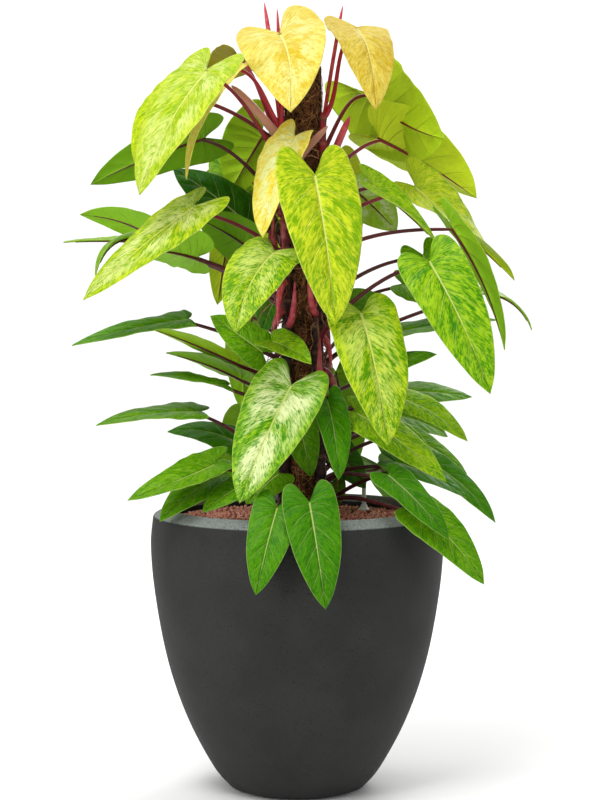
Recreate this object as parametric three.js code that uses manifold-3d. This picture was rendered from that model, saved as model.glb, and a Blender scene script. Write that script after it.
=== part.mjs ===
// A potted painted lady philodendron: four leafy stems climb a coir pole that stands in a round
// planter filled with clay granules, with a water gauge beside it.
// Millimetres, +Z up, the front towards -Y, and the origin at the centre of the planter's foot.
import * as THREE from "three";
import { mergeVertices } from "three/addons/utils/BufferGeometryUtils.js";
import Module from "manifold-3d";

const wasm = await Module();
wasm.setup();

// Driving dimensions
const PLANTER_HEIGHT = 398;
const PLANTER_WALL = 14;
const FLOOR_THICKNESS = 16;
const FOOT_RADIUS = 84;
const FLOOR_RADIUS = 80;
const RIM_RADIUS = 181;
const RIM_CHAMFER = { across: 21, down: 12 };
const GRANULE_LEVEL = PLANTER_HEIGHT - 20;
const GRANULE_RELIEF = 2.4;
const GROW_POT = { bottom: 32, top: 366, foot: 88, mouth: 118, wall: 2.5, lip: 3, lipDepth: 8 };
const POLE = { x: 8, y: 0, radius: 27, bore: 12.4, bottom: 70, top: 1010 };
const STAKE = { radius: 12, top: POLE.top - 6 };
const STEM = { radius: 7.5, tipRadius: 4.5, bottom: 290, windsFrom: 400, windLength: 150 };
const GAUGE = { x: 97, y: 95, radius: 3.2, bore: 2.2, bottom: 172, top: 426 };
const GAUGE_ROD = { radius: 1.8, top: GAUGE.top - 9 };
const GAUGE_COLLAR = { radius: 8.6, neck: 5.2, height: 8 };
const BLADE_THICKNESS = 1.4;
const WIDE_BLADE = 130;
const PETIOLE = { base: 3.6, end: 2.3, point: 0.5 };
const SEAT_GAP = 0.4;
const ROUND_SIDES = 32;
const POT_SIDES = 20;
const POLE_SIDES = 12;

const degrees = THREE.MathUtils.degToRad;
const UP = new THREE.Vector3(0, 0, 1);

// The plant's leaves are placed as they are seen from a viewpoint in front of it: "across" and
// "up" are measured in the plane through the planter's axis that faces the viewpoint, from the
// point in the middle of the view, and a leaf is then moved along the line of sight to its depth.
const EYE = new THREE.Vector3(4, -2800, 709);
const SIGHT = degrees(3.324);
const AIM = EYE.clone().add(new THREE.Vector3(0, 2800, -2800 * Math.tan(SIGHT)));
const VIEW_UP = new THREE.Vector3(0, Math.sin(SIGHT), Math.cos(SIGHT));

function seen([across, up, depth]) {
  const ray = AIM.clone()
    .add(new THREE.Vector3(across, 0, 0))
    .addScaledVector(VIEW_UP, up)
    .sub(EYE);
  return EYE.clone().addScaledVector(ray, (depth - EYE.y) / ray.y);
}

// A repeatable draw of numbers from 0 to 1.
function seededDraw(seed) {
  let state = seed;
  return () => {
    state = (state * 1664525 + 1013904223) % 4294967296;
    return state / 4294967296;
  };
}

// Closed solids: a geometry with merged vertices becomes a manifold, and comes back as a geometry.
function solidOf(geometry) {
  const { index, attributes } = positionsOnly(geometry);
  const triVerts = new Uint32Array(index.array);
  const vertProperties = new Float32Array(attributes.position.array);
  const solid = new wasm.Manifold(new wasm.Mesh({ numProp: 3, vertProperties, triVerts }));
  if (solid.volume() > 0) return solid;
  return new wasm.Manifold(
    new wasm.Mesh({ numProp: 3, vertProperties, triVerts: triVerts.slice().reverse() }),
  );
}

function positionsOnly(geometry) {
  const bare = new THREE.BufferGeometry();
  bare.setAttribute("position", geometry.getAttribute("position"));
  return mergeVertices(bare.setIndex(geometry.index), 1e-3);
}

function indexedGeometry(positions, index) {
  const geometry = new THREE.BufferGeometry();
  geometry.setAttribute("position", new THREE.Float32BufferAttribute(positions, 3));
  return geometry.setIndex(index);
}

function geometryOf(solid) {
  const mesh = solid.getMesh();
  const geometry = new THREE.BufferGeometry();
  geometry.setAttribute("position", new THREE.BufferAttribute(mesh.vertProperties, 3));
  geometry.setIndex(new THREE.BufferAttribute(mesh.triVerts, 1));
  geometry.computeVertexNormals();
  return geometry;
}

// Solids joined in one body: a hollow that the joining seals is filled, and a loose scrap dropped.
function joinedBody(geometries) {
  const whole = geometries.map(solidOf).reduce((sum, piece) => sum.add(piece));
  return whole.decompose().reduce((a, b) => (a.volume() > b.volume() ? a : b));
}

function lathe(profile, segments) {
  const points = profile.map(([radius, height]) => new THREE.Vector2(radius, height));
  return new THREE.LatheGeometry(points, segments).rotateX(Math.PI / 2);
}

function cylinder(radius, bottom, top, { x, y }, sides) {
  return new THREE.CylinderGeometry(radius, radius, top - bottom, sides)
    .rotateX(Math.PI / 2)
    .translate(x, y, (top + bottom) / 2);
}

// A closed tube along a curve, whose radius is a function of the way along it.
function taperedTube(curve, radiusAt, sides, steps) {
  const frames = curve.computeFrenetFrames(steps);
  const positions = [];
  const index = [];
  for (let i = 0; i <= steps; i += 1) {
    const centre = curve.getPointAt(i / steps);
    for (let j = 0; j < sides; j += 1) {
      const angle = (2 * Math.PI * j) / sides;
      const point = centre
        .clone()
        .addScaledVector(frames.normals[i], Math.cos(angle) * radiusAt(i / steps))
        .addScaledVector(frames.binormals[i], Math.sin(angle) * radiusAt(i / steps));
      positions.push(point.x, point.y, point.z);
    }
  }
  const at = (i, j) => i * sides + (j % sides);
  for (let i = 0; i < steps; i += 1) {
    for (let j = 0; j < sides; j += 1) {
      index.push(at(i, j), at(i, j + 1), at(i + 1, j + 1));
      index.push(at(i, j), at(i + 1, j + 1), at(i + 1, j));
    }
  }
  for (let j = 1; j < sides - 1; j += 1) {
    index.push(at(0, 0), at(0, j + 1), at(0, j));
    index.push(at(steps, 0), at(steps, j), at(steps, j + 1));
  }
  return indexedGeometry(positions, index);
}

// The planter: a round body that narrows to its foot, with a bevelled rim.
const OUTER_WALL = new THREE.SplineCurve(
  [[97, 5], [118, 30], [148, 85], [171, 143], [188, 206], [201, 284], [205.5, 345], [202, 386]].map(
    ([radius, height]) => new THREE.Vector2(radius, height),
  ),
);

function wallProfile(inset, lowest, highest) {
  const points = OUTER_WALL.getPoints(8).map(({ x, y }) => [x - inset, y]);
  return points.filter(([, height]) => height > lowest && height < highest);
}

const innerWall = (inset) => wallProfile(inset, FLOOR_THICKNESS + 12, PLANTER_HEIGHT - 38).reverse();

function planter() {
  const chamferEdge = [RIM_RADIUS + RIM_CHAMFER.across, PLANTER_HEIGHT - RIM_CHAMFER.down];
  return lathe(
    [
      [0, 0],
      [FOOT_RADIUS, 0],
      ...wallProfile(0, 0, chamferEdge[1] - 1),
      chamferEdge,
      [RIM_RADIUS, PLANTER_HEIGHT],
      [RIM_RADIUS - 2, PLANTER_HEIGHT - 6],
      ...innerWall(PLANTER_WALL),
      [FLOOR_RADIUS, FLOOR_THICKNESS],
      [0, FLOOR_THICKNESS],
    ],
    ROUND_SIDES,
  );
}

// The grow pot is a thin cup with a turned-out lip, and the root ball fills it.
function growPot() {
  const { bottom, top, foot, mouth, wall, lip, lipDepth } = GROW_POT;
  return lathe(
    [
      [0, bottom],
      [foot, bottom],
      [mouth, top - lipDepth],
      [mouth + lip, top - lipDepth],
      [mouth + lip, top],
      [mouth - wall, top],
      [foot - wall, bottom + wall],
      [0, bottom + wall],
    ],
    POT_SIDES,
  );
}

function growPotRoom() {
  const { bottom, top, foot, mouth, lip, lipDepth } = GROW_POT;
  return lathe(
    [
      [0, bottom - SEAT_GAP],
      [foot + SEAT_GAP, bottom - SEAT_GAP],
      [mouth + lip + SEAT_GAP, top - lipDepth - SEAT_GAP],
      [mouth + lip + SEAT_GAP, top + SEAT_GAP],
      [0, top + SEAT_GAP],
    ],
    POT_SIDES,
  );
}

// Plain holes for the pole and the stems, from where they end in the root ball to above the rim.
function plantHoles() {
  const pole = cylinder(POLE.radius + SEAT_GAP, POLE.bottom - SEAT_GAP, PLANTER_HEIGHT, POLE, 20);
  const stems = Object.values(STEMS).map((stem) => {
    const foot = stemPoint(stem, STEM.bottom);
    return cylinder(STEM.radius + SEAT_GAP, STEM.bottom - SEAT_GAP, PLANTER_HEIGHT, foot, 12);
  });
  return stems.map(solidOf).reduce((sum, hole) => sum.add(hole), solidOf(pole));
}

function rootBall() {
  const { bottom, top, foot, mouth, wall } = GROW_POT;
  const ball = lathe(
    [
      [0, bottom + wall + SEAT_GAP],
      [foot - wall - SEAT_GAP, bottom + wall + SEAT_GAP],
      [mouth - wall - SEAT_GAP, top - wall],
      [0, top - wall],
    ],
    POT_SIDES,
  );
  return geometryOf(solidOf(ball).subtract(plantHoles()));
}

// Clay granules fill the planter round the grow pot and cover it. Their top is raised in lumps,
// larger than life, which alternate high and low from ring to ring and from sector to sector.
function clayGranules() {
  const rings = 7;
  const topRadius = RIM_RADIUS - 4;
  const draw = seededDraw(11);
  const positions = [0, 0, GRANULE_LEVEL];
  const addRing = (radius, heightAt, turn = 0) => {
    for (let sector = 0; sector < ROUND_SIDES; sector += 1) {
      const angle = (2 * Math.PI * (sector + turn)) / ROUND_SIDES;
      positions.push(radius * Math.cos(angle), radius * Math.sin(angle), heightAt(sector));
    }
  };
  for (let ring = 1; ring < rings; ring += 1) {
    const lump = (sector) => ((ring + sector) % 2 ? 1 : -1) * (0.4 + 0.6 * draw());
    addRing((topRadius * ring) / rings, (sector) => GRANULE_LEVEL + GRANULE_RELIEF * lump(sector), ring / 2);
  }
  addRing(topRadius, () => GRANULE_LEVEL - GRANULE_RELIEF);
  const sides = [...innerWall(PLANTER_WALL + SEAT_GAP), [FLOOR_RADIUS - 1, FLOOR_THICKNESS + SEAT_GAP]];
  sides.forEach(([radius, height]) => addRing(radius, () => height));
  const base = positions.length / 3;
  positions.push(0, 0, FLOOR_THICKNESS + SEAT_GAP);
  const lowest = rings + sides.length - 1;
  const at = (ring, sector) => 1 + ring * ROUND_SIDES + (sector % ROUND_SIDES);
  const index = [];
  for (let sector = 0; sector < ROUND_SIDES; sector += 1) {
    index.push(0, at(0, sector), at(0, sector + 1));
    index.push(base, at(lowest, sector + 1), at(lowest, sector));
    for (let ring = 0; ring < lowest; ring += 1) {
      const [a, b] = [at(ring, sector), at(ring, sector + 1)];
      const [c, d] = [at(ring + 1, sector + 1), at(ring + 1, sector)];
      index.push(a, d, c, a, c, b);
    }
  }
  const bed = indexedGeometry(positions, index);
  const gaugeHole = cylinder(GAUGE.radius + SEAT_GAP, GAUGE.bottom - SEAT_GAP, PLANTER_HEIGHT, GAUGE, 12);
  const cuts = solidOf(growPotRoom()).add(plantHoles()).add(solidOf(gaugeHole));
  return geometryOf(solidOf(bed).subtract(cuts));
}

// The climbing pole: a sleeve of coir, worn unevenly, round a plain stake.
function coirSleeve() {
  const draw = seededDraw(5);
  const wear = 0.09;
  const rings = 13;
  const outside = Array.from({ length: rings + 1 }, (_, i) => [
    POLE.radius,
    POLE.bottom + ((POLE.top - POLE.bottom) * i) / rings,
  ]);
  const profile = [[POLE.bore, POLE.bottom], ...outside, [POLE.bore, POLE.top], [POLE.bore, POLE.bottom]];
  const sleeve = positionsOnly(lathe(profile, POLE_SIDES));
  const position = sleeve.getAttribute("position");
  for (let i = 0; i < position.count; i += 1) {
    const radius = Math.hypot(position.getX(i), position.getY(i));
    if (radius > POLE.bore + 1) {
      const worn = 1 - wear * draw();
      position.setXY(i, position.getX(i) * worn, position.getY(i) * worn);
    }
  }
  return sleeve.translate(POLE.x, POLE.y, 0);
}

function poleStake() {
  return cylinder(STAKE.radius, POLE.bottom, STAKE.top, POLE, POLE_SIDES);
}

// The water gauge: a clear tube sunk in the granules, a float rod inside it and a collar round it.
function gaugeTube() {
  const { radius, bore, bottom, top } = GAUGE;
  return lathe([[bore, bottom], [radius, bottom], [radius, top], [bore, top], [bore, bottom]], 12)
    .translate(GAUGE.x, GAUGE.y, 0);
}

function gaugeRod() {
  return cylinder(GAUGE_ROD.radius, GAUGE.bottom + 1, GAUGE_ROD.top, GAUGE, 10);
}

function gaugeCollar() {
  const { radius, neck, height } = GAUGE_COLLAR;
  const bottom = GRANULE_LEVEL + GRANULE_RELIEF + SEAT_GAP;
  const inner = GAUGE.radius + SEAT_GAP;
  return lathe(
    [
      [inner, bottom],
      [radius, bottom],
      [radius, bottom + 2],
      [neck, bottom + height],
      [inner, bottom + height],
      [inner, bottom],
    ],
    12,
  ).translate(GAUGE.x, GAUGE.y, 0);
}

// The four stems. Each winds a little round the pole. The angle is measured from the front,
// towards the right.
const STEMS = {
  front_left: { angle: -52, sway: 14, top: 930 },
  front_right: { angle: 48, sway: -12, top: 945 },
  back_right: { angle: 132, sway: 14, top: 900 },
  back_left: { angle: -132, sway: -12, top: 915 },
};

function stemPoint({ angle, sway }, height) {
  const wound = Math.max(0, height - STEM.windsFrom) / STEM.windLength;
  const turned = degrees(angle + sway * Math.sin(wound));
  const reach = POLE.radius + STEM.radius + SEAT_GAP + 0.3;
  return new THREE.Vector3(POLE.x + reach * Math.sin(turned), -reach * Math.cos(turned), height);
}

function stemTube(stem) {
  const rings = 11;
  const points = Array.from({ length: rings + 1 }, (_, i) =>
    stemPoint(stem, STEM.bottom + ((stem.top - STEM.bottom) * i) / rings),
  );
  points.splice(1, 0, stemPoint(stem, STEM.windsFrom - 12));
  points.sort((a, b) => a.z - b.z);
  const radiusAt = (t) => THREE.MathUtils.lerp(STEM.radius, STEM.tipRadius, Math.max(0, t - 0.5) * 2);
  return taperedTube(new THREE.CatmullRomCurve3(points), radiusAt, 6, 9);
}

// One half of a blade's outline: along the midrib from the sinus, in lengths, and across it, in
// widths. It runs from the notch round the rear lobe to the tip. The third number is where the
// row's vein leaves the midrib.
const HALF_OUTLINE = [
  [0, 0.03, 0],
  [-0.14, 0.15, 0],
  [-0.2, 0.3, 0],
  [-0.12, 0.45, 0.02],
  [0.12, 0.5, 0.12],
  [0.52, 0.41, 0.4],
  [0.84, 0.2, 0.73],
  [1, 0, 1],
];

// The leaves, listed from the top of each stem to its foot. "sinus" is where the petiole meets
// the blade, and "tip" is its point, both as they are seen: [across, up, depth]. "faces" is where
// the upper face looks: the angle from the front towards the right, and the angle above level.
// "arch" is how far the midrib bows towards that face and "bow" how far it bows sideways, both in
// lengths. "fold" is the angle that each half is raised, and "twist" how far the tip is turned about
// the midrib. "lobes" is how long the rear lobes are beside the usual, "skew" how much longer one is
// than the mean of the two, and "rise" sets how far below the blade the petiole starts.
const leaf = (sinus, tip, width, faces, arch = 0.08, fold = 12, more = {}) => ({
  sinus,
  tip,
  width,
  faces,
  arch,
  fold,
  bow: 0,
  twist: 0,
  lobes: 1,
  skew: 0,
  rise: 0.5,
  ...more,
});

const LEAVES = {
  front_left: [
    leaf([-28, 512, -40], [-13, 403, -165], 120, [-20, 38], 0.08, 9, { bow: -0.06, lobes: 2.4, skew: -0.2, rise: 1.5 }),
    leaf([-83, 468, -44], [-159, 309, -72], 60, [-68, 15], 0.12, 2, { lobes: 0.3, rise: 1.2 }),
    leaf([-130, 461, -112], [-225, 287, -150], 116, [-42, 20], 0.07, 8, { rise: 0.9 }),
    leaf([-6, 368, -80], [-52, 227, -118], 92, [-50, 20], 0.06, 14, { lobes: 0.6, skew: 0.45, rise: 0.4 }),
    leaf([-149, 270, -100], [-304, 140, -140], 88, [-37, 36], 0.03, 1, { lobes: 1, skew: -0.1 }),
    leaf([-144, 199, -60], [-241, 213, -66], 84, [175, 48], 0.05, 20),
    leaf([-36, 207, -115], [-90, 94, -215], 88, [-6, 38], 0.06, 10, { bow: 0.05, lobes: 0.7, rise: 0.3 }),
    leaf([-199, 220, -20], [-287, 174, -50], 66, [-80, 60], 0.28, 14),
    leaf([-156, 113, -50], [-320, 76, -80], 72, [0, 74], 0.04, 8, { bow: -0.04, lobes: 0.05, skew: 0.3 }),
    leaf([-53, 67, -60], [-126, 118, -70], 56, [-20, 35], 0.04, 10),
    leaf([-39, 82, -85], [16, 50, -140], 48, [-30, 60], 0.07, 20, { rise: 0.2 }),
    leaf([-12, 20, -130], [-85, -145, -190], 102, [-10, 25], 0.06, 8, { rise: 0.3 }),
    leaf([-104, 20, -20], [-210, 35, -60], 60, [0, 77], 0.04, 8, { bow: -0.03, lobes: 0.3, skew: 0.3 }),
    leaf([-53, 0, -48], [-67, -60, -58], 56, [-20, 15], 0.05, 8, { rise: 0.3 }),
    leaf([-140, -17, -30], [-286, -36, -70], 72, [0, 76], 0.05, 8, { bow: -0.02, lobes: 0.4, skew: 0.3, rise: 0.7 }),
    leaf([-120, -91, -95], [-242, -141, -155], 64, [-10, 60], 0.05, 16, { bow: -0.08, lobes: 1.1, skew: 0.6, rise: 0.35 }),
    leaf([-104, -104, -60], [-197, -171, -125], 66, [-20, 42], 0.08, 12, { rise: 0.12 }),
    leaf([-72, -116, -90], [-137, -158, -130], 48, [-10, 48], 0.06, 8, { rise: 0.1 }),
    leaf([-30, -104, -96], [-76, -146, -120], 50, [-10, 30], 0.06, 8, { rise: 0.2 }),
    leaf([-32, -151, -195], [-62, -274, -242], 63, [-5, 20], 0.07, 8, { rise: 0.15 }),
  ],
  front_right: [
    leaf([80, 521, -20], [106, 406, -100], 82, [14, 45], 0.16, 4, { lobes: 1.3, skew: 0.9, rise: 1.7 }),
    leaf([20, 316, -140], [49, 104, -180], 112, [18, 15], 0.05, 10, { rise: 0.3 }),
    leaf([101, 302, -62], [192, 220, -84], 42, [32, 25], 0.04, 26, { twist: 40, lobes: 1, skew: -0.4 }),
    leaf([161, 298, 14], [301, 168, 8], 92, [34, 31], 0.06, 20, { bow: 0.05, twist: 60, lobes: 0.8, skew: -0.3 }),
    leaf([211, 245, -66], [287, 70, -94], 60, [108, 10], 0.06, 18, { rise: 0.3 }),
    leaf([181, 195, -122], [267, 8, -162], 88, [2, 5], 0.05, 14, { bow: -0.02, lobes: 0.65, rise: 0.6 }),
    leaf([172, 203, 5], [217, 98, -15], 66, [20, 20], 0.06, 8),
    leaf([85, 122, -135], [123, -64, -195], 104, [20, 25], 0.06, 8, { lobes: 0.75, rise: 0.35 }),
    leaf([105, 39, 20], [192, 64, 0], 50, [0, 56], 0.05, 6),
    leaf([80, -19, -84], [205, -115, -138], 68, [10, 52], 0.05, 6, { rise: 0.3 }),
    leaf([38, 0, -112], [54, -113, -150], 56, [35, 20], 0.05, 12, { rise: 0.3 }),
    leaf([140, 3, 0], [235, -58, -30], 52, [10, 52], 0.09, 6),
    leaf([122, -36, -34], [196, -100, -46], 46, [10, 55], 0.08, 8),
    leaf([-2, -28, -56], [16, -108, -72], 50, [-5, 15], 0.05, 8, { rise: 0.2 }),
    leaf([133, -87, -60], [234, -137, -60], 50, [20, 58], 0.06, 8, { rise: 0.3 }),
    leaf([123, -105, -164], [209, -196, -214], 54, [15, 50], 0.05, 8, { lobes: 0.6, rise: 0.2 }),
    leaf([161, -152, -165], [258, -259, -190], 66, [10, 42], 0.1, 6, { lobes: 0.55, rise: 0.1 }),
    leaf([13, -143, -205], [36, -294, -255], 73, [5, 20], 0.05, 8, { rise: 0.2 }),
  ],
  back_right: [
    leaf([93, 430, 95], [202, 367, -5], 144, [136, 12], 0.02, 8, { bow: -0.08, lobes: 1.8, skew: -0.45, rise: 0.9 }),
    leaf([109, 367, 60], [248, 283, 75], 108, [153, 37], 0.04, 30, { rise: 0.8 }),
    leaf([78, 294, 60], [136, 237, 90], 74, [170, 15], 0.06, 8),
    leaf([250, 152, 20], [325, 98, 40], 40, [40, 76], 0.16, 12),
    leaf([143, 162, 62], [210, 126, 78], 58, [30, 40], 0.06, 10),
    leaf([58, 126, 24], [106, 150, 40], 50, [20, 40], 0.06, 10, { rise: 0.3 }),
    leaf([119, 91, 20], [280, 112, 45], 58, [0, 72], 0.03, 10),
    leaf([137, 12, 40], [241, 4, 55], 56, [0, 58], 0.03, 3),
    leaf([133, -21, 85], [207, -52, 110], 54, [10, 50], 0.08, 12),
    leaf([140, -45, 45], [234, -104, 65], 48, [20, 52], 0.06, 8),
    leaf([182, -87, -15], [274, -172, -20], 50, [25, 48], 0.08, 8),
    leaf([44, -62, 66], [92, -124, 78], 54, [10, 25], 0.05, 8, { rise: 0.2 }),
    leaf([44, -116, 98], [54, -148, 120], 40, [10, 10], 0.05, 8, { rise: 0.2 }),
    leaf([46, 326, 140], [56, 150, 205], 84, [165, 25], 0.1, 10),
    leaf([90, 110, 140], [112, -50, 200], 84, [150, 30], 0.1, 10),
    leaf([50, 40, 170], [70, -110, 215], 84, [170, 25], 0.1, 10, { rise: 0.4 }),
    leaf([100, 10, 150], [132, -110, 196], 76, [150, 35], 0.12, 10),
    leaf([110, -92, 180], [160, -200, 240], 76, [150, 45], 0.1, 10, { rise: 0.15 }),
  ],
  back_left: [
    leaf([-87, 480, 48], [-128, 440, 110], 64, [170, 45], 0.1, 8, { rise: 1.2 }),
    leaf([-171, 431, -30], [-232, 333, -50], 78, [-25, 35], 0.08, 8),
    leaf([-133, 367, 24], [-294, 302, 20], 80, [180, 38], 0.05, 10, { rise: 0.9 }),
    leaf([-52, 370, 72], [-98, 292, 92], 104, [180, 20], 0.06, 8, { lobes: 2.4, rise: 0.9 }),
    leaf([-72, 290, 96], [-127, 339, 118], 70, [0, 30], 0.05, 8),
    leaf([-74, 262, 140], [-123, 302, 164], 64, [0, 25], 0.05, 8),
    leaf([-66, 240, 46], [-178, 323, 80], 84, [0, 40], 0.06, 8, { rise: 0.3 }),
    leaf([-74, 216, -14], [-145, 256, -4], 72, [180, 30], 0.05, 8, { rise: 0.2 }),
    leaf([-189, 216, 26], [-309, 260, 42], 66, [180, 46], 0.12, 10),
    leaf([-210, 222, 98], [-332, 221, 76], 70, [0, 86], 0.02, 10),
    leaf([-101, 227, 70], [-116, 133, 85], 48, [180, 10], 0.05, 8),
    leaf([-35, 140, 70], [-53, 98, 90], 52, [-20, 20], 0.05, 8, { rise: 0.3 }),
    leaf([-84, 50, 0], [-221, 105, -20], 48, [180, 68], 0.02, 12),
    leaf([-80, 28, 15], [-188, 66, 20], 66, [180, 70], 0.04, 12),
    leaf([-80, -64, 30], [-186, -45, 60], 60, [0, 58], 0.12, 4),
    leaf([-28, 312, 180], [-52, 130, 228], 92, [-165, 25], 0.1, 10),
    leaf([-66, 120, 150], [-78, -20, 205], 70, [-155, 30], 0.1, 10),
    leaf([-70, -30, 170], [-90, -170, 225], 82, [-165, 25], 0.1, 10, { rise: 0.3 }),
    leaf([-95, 320, 150], [-125, 215, 205], 76, [-150, 35], 0.12, 10),
    leaf([-16, -100, 190], [-24, -225, 250], 72, [-175, 40], 0.1, 10, { rise: 0.15 }),
  ],
};

// A leaf's own frame in space: the midrib's two ends, the crown that bows it, and the direction
// across the blade.
function bladeFrame({ sinus, tip, faces: [azimuth, elevation], arch, bow }) {
  const start = seen(sinus);
  const end = seen(tip);
  const chord = end.clone().sub(start);
  const length = chord.length();
  chord.normalize();
  const [turn, lift] = [degrees(azimuth), degrees(elevation)];
  const normal = new THREE.Vector3(
    Math.sin(turn) * Math.cos(lift),
    -Math.cos(turn) * Math.cos(lift),
    Math.sin(lift),
  );
  normal.addScaledVector(chord, -normal.dot(chord)).normalize();
  const across = chord.clone().cross(normal);
  const crown = start.clone().lerp(end, 0.5)
    .addScaledVector(normal, 2 * arch * length)
    .addScaledVector(across, 2 * bow * length);
  const midrib = new THREE.QuadraticBezierCurve3(start, crown, end);
  return { midrib, length, across, phase: start.x + start.z };
}

// The midrib's heading at a place along it, and the directions across the blade and out of it.
function midribAxes({ midrib, across }, { twist }, along) {
  const inside = THREE.MathUtils.clamp(along, 0, 1);
  const heading = midrib.getTangent(inside);
  const sideways = across.clone().addScaledVector(heading, -heading.dot(across)).normalize();
  sideways.applyAxisAngle(heading, -degrees(twist * inside));
  return { heading, sideways, normal: sideways.clone().cross(heading) };
}

// A point of the blade's middle surface, from its place along and across it.
function bladePoint(frame, row, along, aside) {
  const { heading, sideways, normal } = midribAxes(frame, row, along);
  const centre = frame.midrib.getPoint(Math.max(along, 0));
  const rear = row.lobes + Math.sign(aside) * row.skew;
  if (along < 0) centre.addScaledVector(heading, along * rear * frame.length);
  const reach = 2 * Math.abs(aside);
  const wave = 0.025 * reach * reach * Math.sin(9 * along + frame.phase + (aside > 0 ? 0 : 2));
  const raised = Math.abs(aside) * Math.tan(degrees(row.fold)) - 0.045 * reach * reach + wave;
  return centre.addScaledVector(sideways, aside * row.width).addScaledVector(normal, raised * row.width);
}

// The direction straight out of the blade's middle surface at a place on it. At the midrib, where
// the two halves meet at an angle, it is the mean of theirs.
function bladeNormal(frame, row, along, aside) {
  const step = 0.02;
  const [from, to] = aside === 0 ? [-step, step] : [aside, aside + step];
  const point = bladePoint(frame, row, along, aside);
  const ahead = bladePoint(frame, row, along + step, aside).sub(point);
  const sideways = bladePoint(frame, row, along, to).sub(bladePoint(frame, row, along, from));
  return sideways.cross(ahead).normalize();
}

// A thin closed blade: both faces share one net of triangles, and a rim joins them. A wide blade
// has one more line of points between its midrib and its margin. A lower point's number is one
// more than that of the upper point above it.
function bladeSolid(row) {
  const frame = bladeFrame(row);
  const lines = row.width > WIDE_BLADE ? [0.5, 1] : [1];
  const positions = [];
  const addPoint = (along, aside) => {
    const point = bladePoint(frame, row, along, aside);
    const normal = bladeNormal(frame, row, along, aside);
    [0.5, -0.5].forEach((share) => {
      const shifted = point.clone().addScaledVector(normal, share * BLADE_THICKNESS);
      positions.push(...shifted.toArray());
    });
    return positions.length / 3 - 2;
  };
  const midribPoints = new Map();
  const onMidrib = (vein) => {
    if (!midribPoints.has(vein)) midribPoints.set(vein, addPoint(vein, 0));
    return midribPoints.get(vein);
  };
  const veinRow = (side) => ([along, aside, vein]) => [
    onMidrib(vein),
    ...lines.map((share) => {
      if (aside === 0) return onMidrib(vein);
      return addPoint(THREE.MathUtils.lerp(vein, along, share), side * aside * share);
    }),
  ];
  const index = [];
  const addFace = (a, b, c) => {
    if (a !== b && b !== c && a !== c) index.push(a, b, c, c + 1, b + 1, a + 1);
  };
  const [margin, otherMargin] = [1, -1].map((side) => {
    const rows = HALF_OUTLINE.map(veinRow(side));
    rows.slice(1).forEach((next, i) => {
      lines.forEach((_, k) => {
        const corners = [rows[i][k], rows[i][k + 1], next[k + 1], next[k]];
        if (side < 0) corners.reverse();
        const [a, b, c, d] = corners;
        addFace(a, b, c);
        addFace(a, c, d);
      });
    });
    return [...rows[0].slice(1), ...rows.slice(1).map((points) => points[lines.length])];
  });
  const loop = [onMidrib(0), ...margin, ...otherMargin.slice(0, -1).reverse()];
  loop.forEach((a, i) => {
    const b = loop[(i + 1) % loop.length];
    index.push(b, a, a + 1, b, a + 1, b + 1);
  });
  return indexedGeometry(positions, index);
}

// A petiole leaves its stem below the blade, climbs outwards and comes up under the sinus, where
// its point ends inside the blade's thickness.
function petioleSolid(stem, row) {
  const frame = bladeFrame(row);
  const { heading, normal } = midribAxes(frame, row, 0);
  const target = frame.midrib.getPoint(0);
  const nearest = stemPoint(stem, Math.min(target.z, stem.top));
  const reach = Math.hypot(target.x - nearest.x, target.y - nearest.y);
  const lowest = GRANULE_LEVEL + 12;
  const height = THREE.MathUtils.clamp(target.z - row.rise * reach, lowest, stem.top - 8);
  const base = stemPoint(stem, height);
  const out = target.clone().sub(base).setZ(0).normalize();
  const end = frame.midrib.getPoint(0.03);
  const span = end.distanceTo(base);
  const leaving = out.clone().addScaledVector(UP, 1.1).normalize();
  const arriving = out.clone().addScaledVector(normal, 0.45).addScaledVector(heading, 0.35).normalize();
  const curve = new THREE.CubicBezierCurve3(
    base,
    base.clone().addScaledVector(leaving, 0.32 * span),
    end.clone().addScaledVector(arriving, -0.32 * span),
    end,
  );
  const radiusAt = (t) => (t < 1 ? THREE.MathUtils.lerp(PETIOLE.base, PETIOLE.end, t) : PETIOLE.point);
  return taperedTube(curve, radiusAt, 4, 4);
}

// Pointed shoots: rolled new leaves, and the dry sheaths that wrapped older ones. "from" is a
// height on the stem, and "tip" a point as it is seen.
const SHOOTS = {
  front_left: [
    { from: 915, tip: [-50, 557, 26], radius: 3.4 },
    { from: 905, tip: [-96, 441, -30], radius: 6 },
    { from: 852, tip: [39, 384, -75], radius: 5 },
  ],
  front_right: [
    { from: 930, tip: [60, 553, 26], radius: 2.8 },
    { from: 842, tip: [70, 398, -30], radius: 5.2 },
  ],
  back_right: [{ from: 880, tip: [18, 486, 62], radius: 3 }],
  back_left: [{ from: 895, tip: [-32, 549, 30], radius: 2.8 }],
};

function shootSolid(stem, { from, tip, radius }) {
  const base = stemPoint(stem, from);
  const end = seen(tip);
  const lift = end.clone().sub(base);
  const bend = base.clone().addScaledVector(lift, 0.5).add(new THREE.Vector3(0, 0, 0.06 * lift.length()));
  const curve = new THREE.QuadraticBezierCurve3(base, bend, end);
  return taperedTube(curve, (t) => radius * (1 - 0.85 * t ** 10), 4, 4);
}

// Short aerial roots hang from the stems at intervals.
const ROOTS = { perStem: 3, lowest: 450, spacing: 150, radius: 1.7, length: 46 };

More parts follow.
